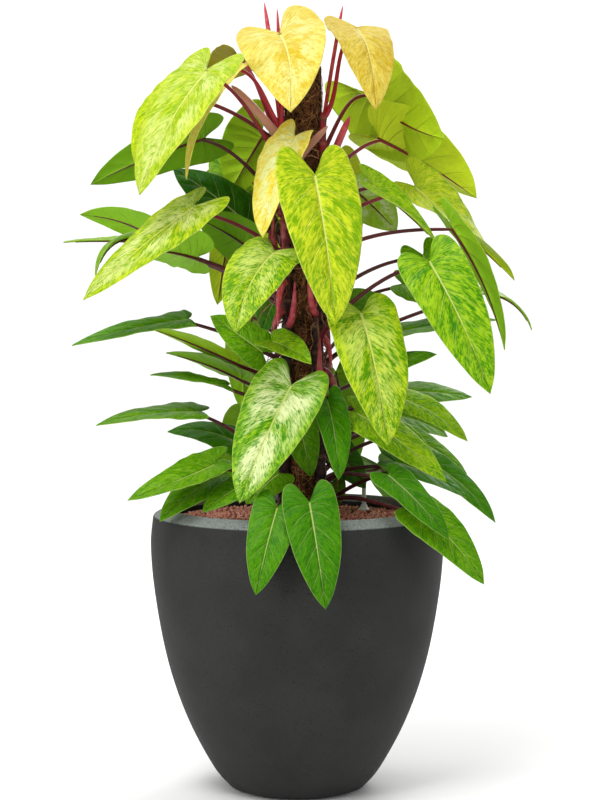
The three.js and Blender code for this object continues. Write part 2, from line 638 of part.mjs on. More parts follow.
function rootSolids(stem, seed) {
  const draw = seededDraw(seed);
  return Array.from({ length: ROOTS.perStem }, (_, i) => {
    const base = stemPoint(stem, ROOTS.lowest + ROOTS.spacing * (i + 0.5 * draw()));
    const away = base.clone().sub(new THREE.Vector3(POLE.x, 0, base.z)).normalize();
    away.applyAxisAngle(UP, 1.4 * (draw() - 0.5));
    const length = ROOTS.length * (0.7 + 0.6 * draw());
    const middle = base.clone().addScaledVector(away, 0.55 * length);
    const end = base.clone().addScaledVector(away, 0.6 * length).addScaledVector(UP, -0.8 * length);
    return taperedTube(new THREE.QuadraticBezierCurve3(base, middle, end), () => ROOTS.radius, 3, 2);
  });
}

function leafyStem(name) {
  const stem = STEMS[name];
  const seed = 3 + Object.keys(STEMS).indexOf(name);
  return geometryOf(
    joinedBody([
      stemTube(stem),
      ...LEAVES[name].flatMap((row) => [petioleSolid(stem, row), bladeSolid(row)]),
      ...SHOOTS[name].map((shoot) => shootSolid(stem, shoot)),
      ...rootSolids(stem, seed),
    ]),
  );
}

const FINISHES = {
  concrete: { color: 0x37373a, roughness: 0.85, metalness: 0 },
  clay: { color: 0x96553f, roughness: 0.95, metalness: 0 },
  roots: { color: 0x5a4634, roughness: 1, metalness: 0 },
  blackPlastic: { color: 0x1c1c1e, roughness: 0.55, metalness: 0 },
  coir: { color: 0x6b4527, roughness: 1, metalness: 0 },
  greyPlastic: { color: 0x8e9092, roughness: 0.5, metalness: 0 },
  clearPlastic: { color: 0xdfe6e8, roughness: 0.15, metalness: 0 },
  redPlastic: { color: 0xb83226, roughness: 0.4, metalness: 0 },
  foliage: { color: 0x6fa51e, roughness: 0.45, metalness: 0 },
};

const plant = new THREE.Group();

function addPiece(name, geometry, finish) {
  const mesh = new THREE.Mesh(geometry, new THREE.MeshStandardMaterial(FINISHES[finish]));
  mesh.name = name;
  plant.add(mesh);
}

addPiece("planter", planter(), "concrete");
addPiece("clay_granules", clayGranules(), "clay");
addPiece("grow_pot", growPot(), "blackPlastic");
addPiece("root_ball", rootBall(), "roots");
addPiece("coir_sleeve", coirSleeve(), "coir");
addPiece("pole_stake", poleStake(), "greyPlastic");
addPiece("gauge_tube", gaugeTube(), "clearPlastic");
addPiece("gauge_rod", gaugeRod(), "redPlastic");
addPiece("gauge_collar", gaugeCollar(), "clearPlastic");
Object.keys(STEMS).forEach((name) => {
  addPiece(`leafy_stem_${name}`, leafyStem(name), "foliage");
});

export default plant;
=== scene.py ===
# A potted painted lady philodendron: mottled leaves on a coir pole, in a round planter of clay
# granules. Metres, +Z up, the front towards -Y, the origin at the centre of the planter's foot.
import math
from collections import namedtuple

import bmesh
import bpy
import numpy as np
from mathutils import Matrix, Vector


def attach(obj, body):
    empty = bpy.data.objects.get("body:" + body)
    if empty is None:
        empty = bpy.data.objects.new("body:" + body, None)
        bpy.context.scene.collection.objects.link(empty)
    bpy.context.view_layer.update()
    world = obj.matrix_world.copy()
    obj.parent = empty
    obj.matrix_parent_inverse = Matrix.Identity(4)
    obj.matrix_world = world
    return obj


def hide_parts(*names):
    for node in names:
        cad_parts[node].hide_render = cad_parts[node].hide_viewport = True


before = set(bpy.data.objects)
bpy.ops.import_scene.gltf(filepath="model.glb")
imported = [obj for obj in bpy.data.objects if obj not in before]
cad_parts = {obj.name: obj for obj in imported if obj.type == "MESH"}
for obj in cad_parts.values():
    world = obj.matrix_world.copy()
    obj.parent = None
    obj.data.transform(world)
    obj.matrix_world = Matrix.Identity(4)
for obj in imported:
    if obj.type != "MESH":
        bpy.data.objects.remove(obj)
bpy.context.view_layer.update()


# The studio: a pale floor that sweeps up behind, white surroundings and large soft lights, the
# strongest above. The camera stands 2.8 m in front, at the leaves' height, and looks slightly down.
EYE = Vector((0.004, -2.800, 0.709))
SIGHT = math.radians(3.324)
AIM = EYE + Vector((0, 2.800, -2.800 * math.tan(SIGHT)))
VIEW_UP = Vector((0, math.sin(SIGHT), math.cos(SIGHT)))
LENS = 90
SWEEP = {"front": -8, "back": 3.2, "bend": 1.6, "top": 6, "half_width": 9}
AMBIENT = 0.42
LIGHTS = {
    "overhead": {"place": (-0.7, -1.3, 2.9), "size": 1.2, "power": 46, "target": (0, 0, 0.6)},
    "left": {"place": (-2.0, -2.2, 1.3), "size": 1.2, "power": 34, "target": (0, 0, 0.5)},
    "right": {"place": (2.0, -2.4, 1.0), "size": 1.2, "power": 16, "target": (0, 0, 0.5)},
    "behind": {"place": (1.2, 2.0, 2.2), "size": 1.4, "power": 34, "target": (0, 0, 0.7)},
    "backdrop": {"place": (0, 1.6, 3.4), "size": 2.4, "power": 90, "target": (0, 4.4, 0.6)},
}

scene = bpy.context.scene
scene.view_settings.view_transform = "Standard"


def aimed(thing, place, target):
    """Puts a camera or a lamp in its place, and turns it to its target."""
    thing.location = place
    thing.rotation_euler = (Vector(target) - Vector(place)).to_track_quat("-Z", "Y").to_euler()


def placed(name, data):
    """An object of this name in the scene."""
    thing = bpy.data.objects.new(name, data)
    scene.collection.objects.link(thing)
    return thing


camera = bpy.data.cameras.new("camera")
camera.lens = LENS
scene.camera = placed("camera", camera)
aimed(scene.camera, EYE, AIM)

for name, light in LIGHTS.items():
    lamp = bpy.data.lights.new(name, "AREA")
    lamp.size = light["size"]
    lamp.energy = light["power"]
    aimed(placed(name, lamp), light["place"], light["target"])

world = bpy.data.worlds.new("surroundings")
world.use_nodes = True
world.node_tree.nodes["Background"].inputs["Color"].default_value = (1, 1, 1, 1)
world.node_tree.nodes["Background"].inputs["Strength"].default_value = AMBIENT
scene.world = world


def paint(red, green, blue):
    """A colour as the eye sees it, from 0 to 255, as the linear RGBA that a shader takes."""
    shares = [channel / 255 for channel in (red, green, blue)]
    return [s / 12.92 if s <= 0.04045 else ((s + 0.055) / 1.055) ** 2.4 for s in shares] + [1]


def add_node(tree, kind, sockets=None, **settings):
    """Adds a node. A socket, given by name or number, is set, or linked if it is given another."""
    node = tree.nodes.new(kind)
    for key, value in settings.items():
        setattr(node, key, value)
    for key, value in (sockets or {}).items():
        if isinstance(value, bpy.types.NodeSocket):
            tree.links.new(value, node.inputs[key])
        else:
            node.inputs[key].default_value = value
    return node


def made(tree, kind, sockets=None, **settings):
    """The first output of an added node."""
    return add_node(tree, kind, sockets, **settings).outputs[0]


def new_finish(name, roughness, specular=0.5, alpha=1.0):
    """A material with this roughness, specular level and alpha, its node tree and its shader."""
    material = bpy.data.materials.new(name)
    material.use_nodes = True
    shader = material.node_tree.nodes["Principled BSDF"]
    shader.inputs["Roughness"].default_value = roughness
    shader.inputs["Specular IOR Level"].default_value = specular
    shader.inputs["Alpha"].default_value = alpha
    return material, material.node_tree, shader


floor_finish, _, floor_shader = new_finish("floor_paint", 0.9)
floor_shader.inputs["Base Color"].default_value = paint(245, 245, 244)
sweep_line = [
    (SWEEP["front"], 0),
    *[
        (SWEEP["back"] + SWEEP["bend"] * math.sin(a), SWEEP["bend"] * (1 - math.cos(a)))
        for a in np.linspace(0, math.pi / 2, 17)
    ],
    (SWEEP["back"] + SWEEP["bend"], SWEEP["top"]),
]
floor_mesh = bpy.data.meshes.new("floor")
floor_mesh.from_pydata(
    [(side * SWEEP["half_width"], y, z) for y, z in sweep_line for side in (-1, 1)],
    [],
    [(k, k + 1, k + 3, k + 2) for k in range(0, 2 * len(sweep_line) - 2, 2)],
)
floor_mesh.shade_smooth()
floor_mesh.materials.append(floor_finish)
placed("floor", floor_mesh)


# The planter: one hollow casting of dark pigmented concrete, turned about its axis, with small
# air holes in its face, painted near black as painted shade inside them. Its rim is bevelled by
# grinding, and the bevel is painted paler, partly for the grinding and partly as a painted highlight,
# and its foot is flat.
WALL = 0.014
FLOOR_TOP = 0.016
FOOT_RADIUS = 0.084
FLOOR_RADIUS = 0.080
RIM = {"radius": 0.181, "height": 0.398, "across": 0.021, "down": 0.012, "easing": 0.003}
OUTER_WALL = [
    (0.097, 0.005), (0.118, 0.030), (0.148, 0.085), (0.171, 0.143),
    (0.188, 0.206), (0.201, 0.284), (0.2055, 0.345), (0.202, 0.386),
]
PLANTER_SIDES = 160


def smooth_through(points, steps):
    """Points along a smooth path through the given ones, with so many steps from each to the next."""
    points = np.array(points, float)
    padded = np.vstack([points[:1], points, points[-1:]])
    t = np.linspace(0, 1, steps, endpoint=False)[:, None]
    path = []
    for a, b, c, d in zip(padded, padded[1:], padded[2:], padded[3:]):
        path.append(
            0.5 * (2 * b + (c - a) * t + (2 * a - 5 * b + 4 * c - d) * t**2
                   + (3 * b - a - 3 * c + d) * t**3)
        )
    return np.vstack([*path, points[-1:]])


def eased(before, corner, after, reach):
    """The few points that round off a corner of an outline, starting so far from it."""
    before, corner, after = (np.array(point, float) for point in (before, corner, after))
    start = corner + (before - corner) * reach / np.linalg.norm(before - corner)
    end = corner + (after - corner) * reach / np.linalg.norm(after - corner)
    return [
        tuple((1 - t) ** 2 * start + 2 * t * (1 - t) * corner + t**2 * end)
        for t in np.linspace(0, 1, 5)
    ]


def turned(name, outline, sides, place=(0, 0)):
    """A mesh of an outline of (radius, height) turned about an upright axis. The outline runs up
    the outside. It starts and ends on the axis, or else it is joined in a ring."""
    spots, rings = [], []
    for radius, height in outline:
        if radius < 1e-6:
            rings.append([len(spots)])
            spots.append((place[0], place[1], height))
            continue
        rings.append(range(len(spots), len(spots) + sides))
        for k in range(sides):
            angle = 2 * math.pi * k / sides
            spots.append(
                (place[0] + radius * math.cos(angle), place[1] + radius * math.sin(angle), height)
            )
    if len(rings[0]) > 1:
        rings.append(rings[0])
    faces = []
    for low, high in zip(rings, rings[1:]):
        for k in range(sides):
            corners = [low[k % len(low)], low[(k + 1) % len(low)],
                       high[(k + 1) % len(high)], high[k % len(high)]]
            faces.append(list(dict.fromkeys(corners)))
    mesh = bpy.data.meshes.new(name)
    mesh.from_pydata(spots, [], faces)
    mesh.shade_smooth()
    return mesh


def wall_outline(inset, lowest, highest):
    """The planter's wall, moved in by the inset, between two heights."""
    curve = smooth_through(OUTER_WALL, 8)
    return [(radius - inset, height) for radius, height in curve if lowest < height < highest]


bevel_edge = (RIM["radius"] + RIM["across"], RIM["height"] - RIM["down"])
rim_top = (RIM["radius"], RIM["height"])
rim_inside = (RIM["radius"] - 0.002, RIM["height"] - 0.006)
outer_wall = wall_outline(0, 0, bevel_edge[1] - 0.004)
inner_wall = wall_outline(WALL, FLOOR_TOP + 0.012, RIM["height"] - 0.038)[::-1]
planter_outline = [
    (0, 0),
    *eased((0, 0), (FOOT_RADIUS, 0), outer_wall[0], 0.006),
    *outer_wall,
    *eased(outer_wall[-1], bevel_edge, rim_top, RIM["easing"]),
    *eased(bevel_edge, rim_top, rim_inside, RIM["easing"]),
    rim_inside,
    *inner_wall,
    (FLOOR_RADIUS, FLOOR_TOP),
    (0, FLOOR_TOP),
]


def noise(tree, vector, scale, detail=2.0, distortion=0.0):
    """A noise's value at a place, from about 0.3 to 0.7."""
    sockets = {"Vector": vector, "Scale": scale, "Detail": detail, "Distortion": distortion}
    return add_node(tree, "ShaderNodeTexNoise", sockets).outputs["Fac"]


def spread(tree, value, low, high):
    """A value moved to run from 0, at the low end, to 1, at the high end."""
    sockets = {"Value": value, "From Min": low, "From Max": high}
    return made(tree, "ShaderNodeMapRange", sockets, interpolation_type="SMOOTHSTEP")


def maths(tree, operation, *values):
    """The result of a sum on values or sockets."""
    return made(tree, "ShaderNodeMath", dict(enumerate(values)), operation=operation)


def mixed(tree, share, first, second, most=1):
    """Two colours mixed: the first at a share of 0, and the second, or the most of it, at 1."""
    share = share if most == 1 else maths(tree, "MULTIPLY", share, most)
    ends = [paint(*end) if isinstance(end, tuple) else end for end in (first, second)]
    sockets = {0: share, 6: ends[0], 7: ends[1]}
    return add_node(tree, "ShaderNodeMix", sockets, data_type="RGBA").outputs[2]


def coloured(shader, colour):
    """Links a colour to its shader."""
    shader.id_data.links.new(colour, shader.inputs["Base Color"])


def relief(tree, shader, height, distance, strength=1.0):
    """Small relief on the surface, where the height runs from 0 to 1 over the distance."""
    sockets = {"Height": height, "Distance": distance, "Strength": strength}
    tree.links.new(made(tree, "ShaderNodeBump", sockets), shader.inputs["Normal"])


def object_place(tree):
    """Places on the object, in metres."""
    return add_node(tree, "ShaderNodeTexCoord").outputs["Object"]


def blotches(tree, per_metre, detail, low, high, distortion=0.0):
    """Blotches on the object: 0 where its noise is low, and 1 where it is high."""
    return spread(tree, noise(tree, object_place(tree), per_metre, detail, distortion), low, high)


def height_of(tree):
    """The height above the floor, in metres."""
    return add_node(tree, "ShaderNodeSeparateXYZ", {0: object_place(tree)}).outputs["Z"]


def air_holes(tree, per_metre, size, share):
    """1 in small round holes, and 0 between them. The share of the cells have a hole."""
    sockets = {"Vector": object_place(tree), "Scale": per_metre}
    cells = add_node(tree, "ShaderNodeTexVoronoi", sockets)
    near = spread(tree, cells.outputs["Distance"], size, size * 0.6)
    chosen = made(tree, "ShaderNodeSeparateColor", {0: cells.outputs["Color"]})
    return maths(tree, "MULTIPLY", near, maths(tree, "LESS_THAN", chosen, share))


concrete, tree, shader = new_finish("cast_concrete", 0.7, 0.2)
grain = blotches(tree, 420, 3, 0.3, 0.7)
body = mixed(tree, blotches(tree, 11, 3, 0.35, 0.65), (41, 41, 40), (47, 47, 46))
body = mixed(tree, grain, body, (36, 37, 36), 0.35)
# The bevel's paler colour is partly the concrete laid bare by grinding and partly a painted highlight on
# the rim.
bevel_grind_and_highlight = mixed(tree, grain, (110, 115, 112), (134, 140, 136))
on_bevel = spread(tree, height_of(tree), bevel_edge[1] - 0.001, bevel_edge[1] + 0.001)
body = mixed(tree, on_bevel, body, bevel_grind_and_highlight)
holes = maths(
    tree, "MAXIMUM", air_holes(tree, 230, 0.26, 0.3), air_holes(tree, 520, 0.30, 0.35)
)
# The air holes are painted near black, as painted shade inside them, on top of the relief that sinks
# them.
coloured(shader, mixed(tree, holes, body, (24, 24, 24)))
relief(tree, shader, maths(tree, "SUBTRACT", maths(tree, "MULTIPLY", grain, 0.2), holes), 0.0008, 0.6)

planter_mesh = turned("planter_casting", planter_outline, PLANTER_SIDES)
planter_mesh.materials.append(concrete)
planter = placed("planter_casting", planter_mesh)
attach(planter, "root")
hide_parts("planter")


# The clay granules: balls of fired clay, 4 to 8 mm across and porous, that fill the planter up to
# 20 mm below its rim. The solid bed carries one loose layer of them, and is painted dark as painted
# shade in the gaps between them.
BED_LEVEL = RIM["height"] - 0.020
GRANULE = {"size": 0.0062, "apart": 0.0050, "per_square_metre": 90000.0}
LAYER = {"level": BED_LEVEL + 0.0004, "reach": RIM["radius"] - 0.005, "sides": 96}
POLE = {"x": 0.008, "radius": 0.027, "bore": 0.0124, "bottom": 0.070, "top": 1.010}


def new_tree(name, **inputs):
    """A geometry node tree with a mesh input, the named inputs of a given kind, and its ends."""
    tree = bpy.data.node_groups.new(name, "GeometryNodeTree")
    tree.interface.new_socket("Mesh", in_out="INPUT", socket_type="NodeSocketGeometry")
    for words, kind in inputs.items():
        tree.interface.new_socket(
            words.replace("_", " "), in_out="INPUT", socket_type=f"NodeSocket{kind}"
        )
    tree.interface.new_socket("Mesh", in_out="OUTPUT", socket_type="NodeSocketGeometry")
    return tree, tree.nodes.new("NodeGroupInput").outputs


def end_tree(tree, geometry, finish):
    """Ends a tree in plain geometry with its finish."""
    real = made(tree, "GeometryNodeRealizeInstances", {0: geometry})
    dressed = made(tree, "GeometryNodeSetMaterial", {"Geometry": real, "Material": finish})
    add_node(tree, "NodeGroupOutput", {0: dressed})


def grown(name, tree, mesh, **sizes):
    """Runs a tree on a mesh, with its inputs set, and returns an object with the plain result."""
    maker = placed(name, mesh)
    modifier = maker.modifiers.new("grow", "NODES")
    modifier.node_group = tree
    for socket in tree.interface.items_tree:
        value = sizes.get(socket.name.replace(" ", "_"))
        if socket.in_out == "INPUT" and value is not None:
            modifier[socket.identifier] = value
    depsgraph = bpy.context.evaluated_depsgraph_get()
    result = bpy.data.meshes.new_from_object(
        maker.evaluated_get(depsgraph), preserve_all_data_layers=True, depsgraph=depsgraph
    )
    maker.modifiers.remove(modifier)
    maker.data = result
    result.name = name
    return maker


def drawn(tree, low, high, seed):
    """A number, or else a vector, drawn from low to high for each point."""
    kind, first = ("FLOAT_VECTOR", 0) if isinstance(low, tuple) else ("FLOAT", 2)
    sockets = {first: low, first + 1: high, "Seed": seed}
    draw = add_node(tree, "FunctionNodeRandomValue", sockets, data_type=kind)
    return draw.outputs[0 if kind == "FLOAT_VECTOR" else 1]


def scattered(tree, points, thing, turn, size, seed):
    """Copies of a thing at the points, turned and sized. Each carries a shade, drawn from 0 to 1."""
    sockets = {"Points": points, "Instance": thing, "Rotation": turn, "Scale": size}
    copies = made(tree, "GeometryNodeInstanceOnPoints", sockets)
    sockets = {0: copies, "Name": "shade", "Value": drawn(tree, 0.0, 1.0, seed)}
    return made(
        tree, "GeometryNodeStoreNamedAttribute", sockets, data_type="FLOAT", domain="INSTANCE"
    )


def band(name, sides, *rings):
    """Faces between two level rings. Each ring has its middle's x, its radius and its height."""
    spots = [
        (x + radius * math.cos(angle), radius * math.sin(angle), height)
        for x, radius, height in rings
        for angle in np.linspace(0, 2 * math.pi, sides, endpoint=False)
    ]
    pairs = [(k, (k + 1) % sides) for k in range(sides)]
    mesh = bpy.data.meshes.new(name)
    mesh.from_pydata(spots, [], [(k, after, sides + after, sides + k) for k, after in pairs])
    return mesh


granule_tree, given = new_tree(
    "loose_layer", Size="Float", Apart="Float", Seed="Int", Finish="Material"
)
spots = made(
    granule_tree, "GeometryNodeDistributePointsOnFaces",
    {"Mesh": given["Mesh"], "Distance Min": given["Apart"],
     "Density Max": GRANULE["per_square_metre"], "Seed": given["Seed"]},
    distribute_method="POISSON",
)
ball = made(granule_tree, "GeometryNodeMeshIcoSphere", {"Radius": 0.5, "Subdivisions": 1})
round_ball = made(granule_tree, "GeometryNodeSetShadeSmooth", {0: ball})
girth = drawn(granule_tree, (0.75, 0.75, 0.65), (1.25, 1.25, 1.0), 3)
size = made(granule_tree, "ShaderNodeVectorMath", {0: girth, 3: given["Size"]}, operation="SCALE")
turn = drawn(granule_tree, (0, 0, 0), (6.3, 6.3, 6.3), 4)
drop = made(granule_tree, "ShaderNodeCombineXYZ", {"Z": drawn(granule_tree, -0.0015, 0.0012, 5)})
settled = made(granule_tree, "GeometryNodeSetPosition", {0: spots, "Offset": drop})
balls = scattered(granule_tree, settled, round_ball, turn, size, 6)
end_tree(granule_tree, balls, given["Finish"])


def attribute(tree, name):
    """A value that each point of the mesh carries."""
    return add_node(tree, "ShaderNodeAttribute", attribute_name=name).outputs["Fac"]


def fired_clay(name, shaded, dark, light):
    """Fired clay: red-brown, matt and pitted, from dark to light by each granule's shade."""
    clay, tree, shader = new_finish(name, 0.9, 0.2)
    pores = blotches(tree, 900, 3, 0.35, 0.62)
    shade = attribute(tree, "shade") if shaded else 0.2
    coloured(shader, mixed(tree, pores, mixed(tree, shade, dark, light), (150, 78, 64), 0.35))
    relief(tree, shader, pores, 0.0006, 0.7)
    return clay


granule_clay = fired_clay("fired_clay", True, (204, 120, 102), (248, 184, 164))
# The bed's clay is painted dark: painted shade in the gaps under the loose granules.
bed_clay_in_painted_shade = fired_clay("shaded_clay", False, (44, 20, 16), (66, 32, 26))
layer_mesh = band(
    "granule_layer", LAYER["sides"],
    (0, LAYER["reach"], LAYER["level"]), (POLE["x"], 1.1 * POLE["radius"], LAYER["level"]),
)
granules = grown(
    "loose_granules", granule_tree, layer_mesh,
    Size=GRANULE["size"], Apart=GRANULE["apart"], Seed=7, Finish=granule_clay,
)
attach(granules, "root")


def dress(node, finish):
    """Gives a solid of the frame its finish."""
    for material_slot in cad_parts[node].material_slots:
        material_slot.material = finish


dress("clay_granules", bed_clay_in_painted_shade)


# The grow pot and the root ball: the plant was raised in a thin black pot, which is sunk in the
# granules. Soil and roots fill it, and the pole's stake and the stems go down into them.
grow_plastic, tree, shader = new_finish("black_plastic", 0.5, 0.4)
scuffs = blotches(tree, 160, 4, 0.4, 0.7)
coloured(shader, mixed(tree, scuffs, (27, 27, 29), (44, 44, 46)))
relief(tree, shader, scuffs, 0.0002, 0.4)
dress("grow_pot", grow_plastic)

soil, tree, shader = new_finish("soil_and_roots", 1.0, 0.1)
crumbs = blotches(tree, 240, 4, 0.35, 0.65)
threads = blotches(tree, 60, 2, 0.55, 0.6, 3.0)
earth = mixed(tree, crumbs, (44, 33, 25), (88, 68, 50))
coloured(shader, mixed(tree, threads, earth, (170, 150, 120)))
relief(tree, shader, crumbs, 0.002, 0.8)
dress("root_ball", soil)

stake_plastic, tree, shader = new_finish("stake_plastic", 0.45)
streaks = blotches(tree, 90, 2, 0.35, 0.65)
coloured(shader, mixed(tree, streaks, (124, 126, 128), (146, 148, 150)))
dress("pole_stake", stake_plastic)


# The climbing pole: matted coir bound round the stake, worn and uneven, with loose fibres that
# lie round it and stand off here and there.
COIR_SIDES = 48
COIR_RINGS = 150
FIBRE = {"length": 0.046, "per_square_metre": 27000.0, "thickness": 0.009, "hug": 0.35}


def worn_radius(angle, height):
    """The sleeve's outside radius where it is worn."""
    lumps = math.sin(3 * angle + 31 * height) * math.sin(2 * angle - 47 * height)
    tufts = math.sin(11 * angle + 190 * height) * math.sin(7 * angle - 260 * height)
    return POLE["radius"] * (0.955 + 0.025 * lumps + 0.015 * tufts)


sleeve_outline = [
    (POLE["bore"], POLE["top"]),
    (POLE["bore"], POLE["bottom"]),
    *[(POLE["radius"], z) for z in np.linspace(POLE["bottom"], POLE["top"], COIR_RINGS)],
]
sleeve_mesh = turned("coir_matting", sleeve_outline, COIR_SIDES)
for spot in sleeve_mesh.vertices:
    radius = math.hypot(spot.co.x, spot.co.y)
    if radius > POLE["bore"] * 1.1:
        worn = worn_radius(math.atan2(spot.co.y, spot.co.x), spot.co.z) / radius
        spot.co.x, spot.co.y = spot.co.x * worn, spot.co.y * worn
    spot.co.x += POLE["x"]

coir, tree, shader = new_finish("coir", 0.95, 0.15)
tangle = blotches(tree, 150, 4, 0.42, 0.62, 4.0)
shadows = blotches(tree, 55, 3, 0.35, 0.6, 1.5)
colour = mixed(tree, tangle, (48, 24, 14), (158, 98, 52))
coloured(shader, mixed(tree, shadows, (26, 12, 8), colour))
relief(tree, shader, tangle, 0.002, 0.9)

sleeve_mesh.materials.append(coir)
sleeve = placed("coir_matting", sleeve_mesh)
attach(sleeve, "root")
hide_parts("coir_sleeve")

fibre_tree, given = new_tree(
    "loose_fibres", Length="Float", Density="Float", Thickness="Float", Hug="Float",
    Radius="Float", Seed="Int", Finish="Material",
)
spots = add_node(
    fibre_tree, "GeometryNodeDistributePointsOnFaces",
    {"Mesh": given["Mesh"], "Density": given["Density"], "Seed": given["Seed"]},
    distribute_method="RANDOM",
)
bow = made(
    fibre_tree, "GeometryNodeCurveQuadraticBezier",
    {"Resolution": 5, "Start": (-0.5, 0, 0), "Middle": (0.1, 0.35, 0.12), "End": (0.5, 0, 0)},
)
girth = made(
    fibre_tree, "GeometryNodeCurvePrimitiveCircle", {"Resolution": 3, "Radius": given["Thickness"]}
)
strand = made(
    fibre_tree, "GeometryNodeCurveToMesh", {"Curve": bow, "Profile Curve": girth, "Fill Caps": True}
)
about = made(
    fibre_tree, "FunctionNodeAxisAngleToRotation",
    {"Axis": (0, 0, 1), "Angle": drawn(fibre_tree, 0.0, 6.3, 11)},
)
facing = made(
    fibre_tree, "FunctionNodeRotateRotation",
    {"Rotation": spots.outputs["Rotation"], "Rotate By": about}, rotation_space="LOCAL",
)
reach = maths(fibre_tree, "MULTIPLY", drawn(fibre_tree, 0.5, 1.3, 12), given["Length"])
strands = scattered(fibre_tree, spots.outputs["Points"], strand, facing, reach, 13)
loose = made(fibre_tree, "GeometryNodeRealizeInstances", {0: strands})
spot = made(fibre_tree, "GeometryNodeInputPosition")
level = made(fibre_tree, "ShaderNodeVectorMath", {0: spot, 1: (1, 1, 0)}, operation="MULTIPLY")
length = add_node(fibre_tree, "ShaderNodeVectorMath", {0: level}, operation="LENGTH")
distance = length.outputs["Value"]
stand_off = maths(fibre_tree, "SUBTRACT", distance, given["Radius"])
kept = maths(fibre_tree, "MULTIPLY", stand_off, given["Hug"])
pull = maths(fibre_tree, "DIVIDE", maths(fibre_tree, "ADD", kept, given["Radius"]), distance)
pulls = made(fibre_tree, "ShaderNodeCombineXYZ", {"X": pull, "Y": pull, "Z": 1.0})
hugged = made(fibre_tree, "ShaderNodeVectorMath", {0: spot, 1: pulls}, operation="MULTIPLY")
laid = made(fibre_tree, "GeometryNodeSetPosition", {0: loose, "Position": hugged})
end_tree(fibre_tree, laid, given["Finish"])

fibre, tree, shader = new_finish("coir_fibre", 0.75, 0.25)
colour = mixed(tree, attribute(tree, "shade"), (52, 26, 14), (206, 146, 88))
coloured(shader, mixed(tree, blotches(tree, 200, 2, 0.35, 0.65), colour, (96, 60, 36)))

skin_radius = POLE["radius"] * 0.965
skin_mesh = band(
    "pole_skin", COIR_SIDES,
    (0, skin_radius, BED_LEVEL + 0.004), (0, skin_radius, POLE["top"] - 0.022),
)
fibres = grown(
    "coir_fibres", fibre_tree, skin_mesh,
    Length=FIBRE["length"], Density=FIBRE["per_square_metre"], Thickness=FIBRE["thickness"],
    Hug=FIBRE["hug"], Radius=skin_radius, Seed=5, Finish=fibre,
)
fibres.data.transform(Matrix.Translation((POLE["x"], 0, 0)))
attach(fibres, "root")


# The water gauge: a clear plastic tube that goes down to the water, with a flared foot on the
# granules. A float rod inside it has a red and a yellow mark.
GAUGE = {"x": 0.097, "y": 0.095, "radius": 0.0032, "bore": 0.0022, "bottom": 0.172, "top": 0.426}
GAUGE_ROD = {"radius": 0.0018, "top": GAUGE["top"] - 0.009}
GAUGE_FOOT = {"radius": 0.0086, "neck": 0.0042, "height": 0.008}
GAUGE_MARKS = {"red": 0.3915, "yellow": 0.4150, "height": 0.0022}
foot_bottom = BED_LEVEL + 0.0028
gauge_place = (GAUGE["x"], GAUGE["y"])


def hazy_plastic(name, roughness, alpha, dark, light):
    """See-through plastic with a slight haze."""
    plastic, tree, shader = new_finish(name, roughness, alpha=alpha)
    coloured(shader, mixed(tree, blotches(tree, 300, 2, 0.35, 0.65), dark, light))
    return plastic


tube_outline = [
    (GAUGE["bore"], GAUGE["top"]), (GAUGE["bore"], GAUGE["bottom"]),
    (GAUGE["radius"], GAUGE["bottom"]), (GAUGE["radius"], GAUGE["top"] - 0.0004),
    (GAUGE["radius"] - 0.0004, GAUGE["top"]),
]
tube_mesh = turned("gauge_clear_tube", tube_outline, 32, gauge_place)
tube_mesh.materials.append(
    hazy_plastic("clear_plastic", 0.15, 0.78, (238, 238, 240), (252, 252, 254))
)
tube = placed("gauge_clear_tube", tube_mesh)

flare = [
    (GAUGE_FOOT["radius"] - (GAUGE_FOOT["radius"] - GAUGE_FOOT["neck"]) * t**0.55,
     foot_bottom + 0.0014 + (GAUGE_FOOT["height"] - 0.0014) * t)
    for t in np.linspace(0, 1, 8)
]
foot_outline = [
    (GAUGE["radius"] + 0.0003, foot_bottom + GAUGE_FOOT["height"]),
    (GAUGE["radius"] + 0.0003, foot_bottom), (GAUGE_FOOT["radius"], foot_bottom), *flare,
]
foot_mesh = turned("gauge_flared_foot", foot_outline, 40, gauge_place)
foot_mesh.materials.append(
    hazy_plastic("milky_plastic", 0.3, 0.92, (222, 222, 228), (242, 242, 246))
)
foot = placed("gauge_flared_foot", foot_mesh)

rod_finish, tree, shader = new_finish("marked_rod", 0.4)
height = height_of(tree)
colour = mixed(tree, blotches(tree, 400, 2, 0.35, 0.65), (224, 223, 222), (240, 240, 238))
for mark, ink in (("red", (176, 44, 24)), ("yellow", (226, 190, 90))):
    off = maths(tree, "ABSOLUTE", maths(tree, "SUBTRACT", height, GAUGE_MARKS[mark]))
    inside = maths(tree, "LESS_THAN", off, GAUGE_MARKS["height"] / 2)
    colour = mixed(tree, inside, colour, ink)
coloured(shader, colour)
rod_outline = [
    (0, GAUGE["bottom"] + 0.001), (GAUGE_ROD["radius"], GAUGE["bottom"] + 0.001),
    (GAUGE_ROD["radius"], GAUGE_ROD["top"] - 0.001), (GAUGE_ROD["radius"] * 0.6, GAUGE_ROD["top"]),
    (0, GAUGE_ROD["top"]),
]
rod_mesh = turned("gauge_float_rod", rod_outline, 24, gauge_place)
rod_mesh.materials.append(rod_finish)
rod = placed("gauge_float_rod", rod_mesh)

for piece, node, slot in (
    (tube, "gauge_tube", "clear_plastic"), (foot, "gauge_collar", "clear_plastic"),
    (rod, "gauge_rod", "red_plastic"),
):
    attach(piece, "root")
    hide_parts(node)


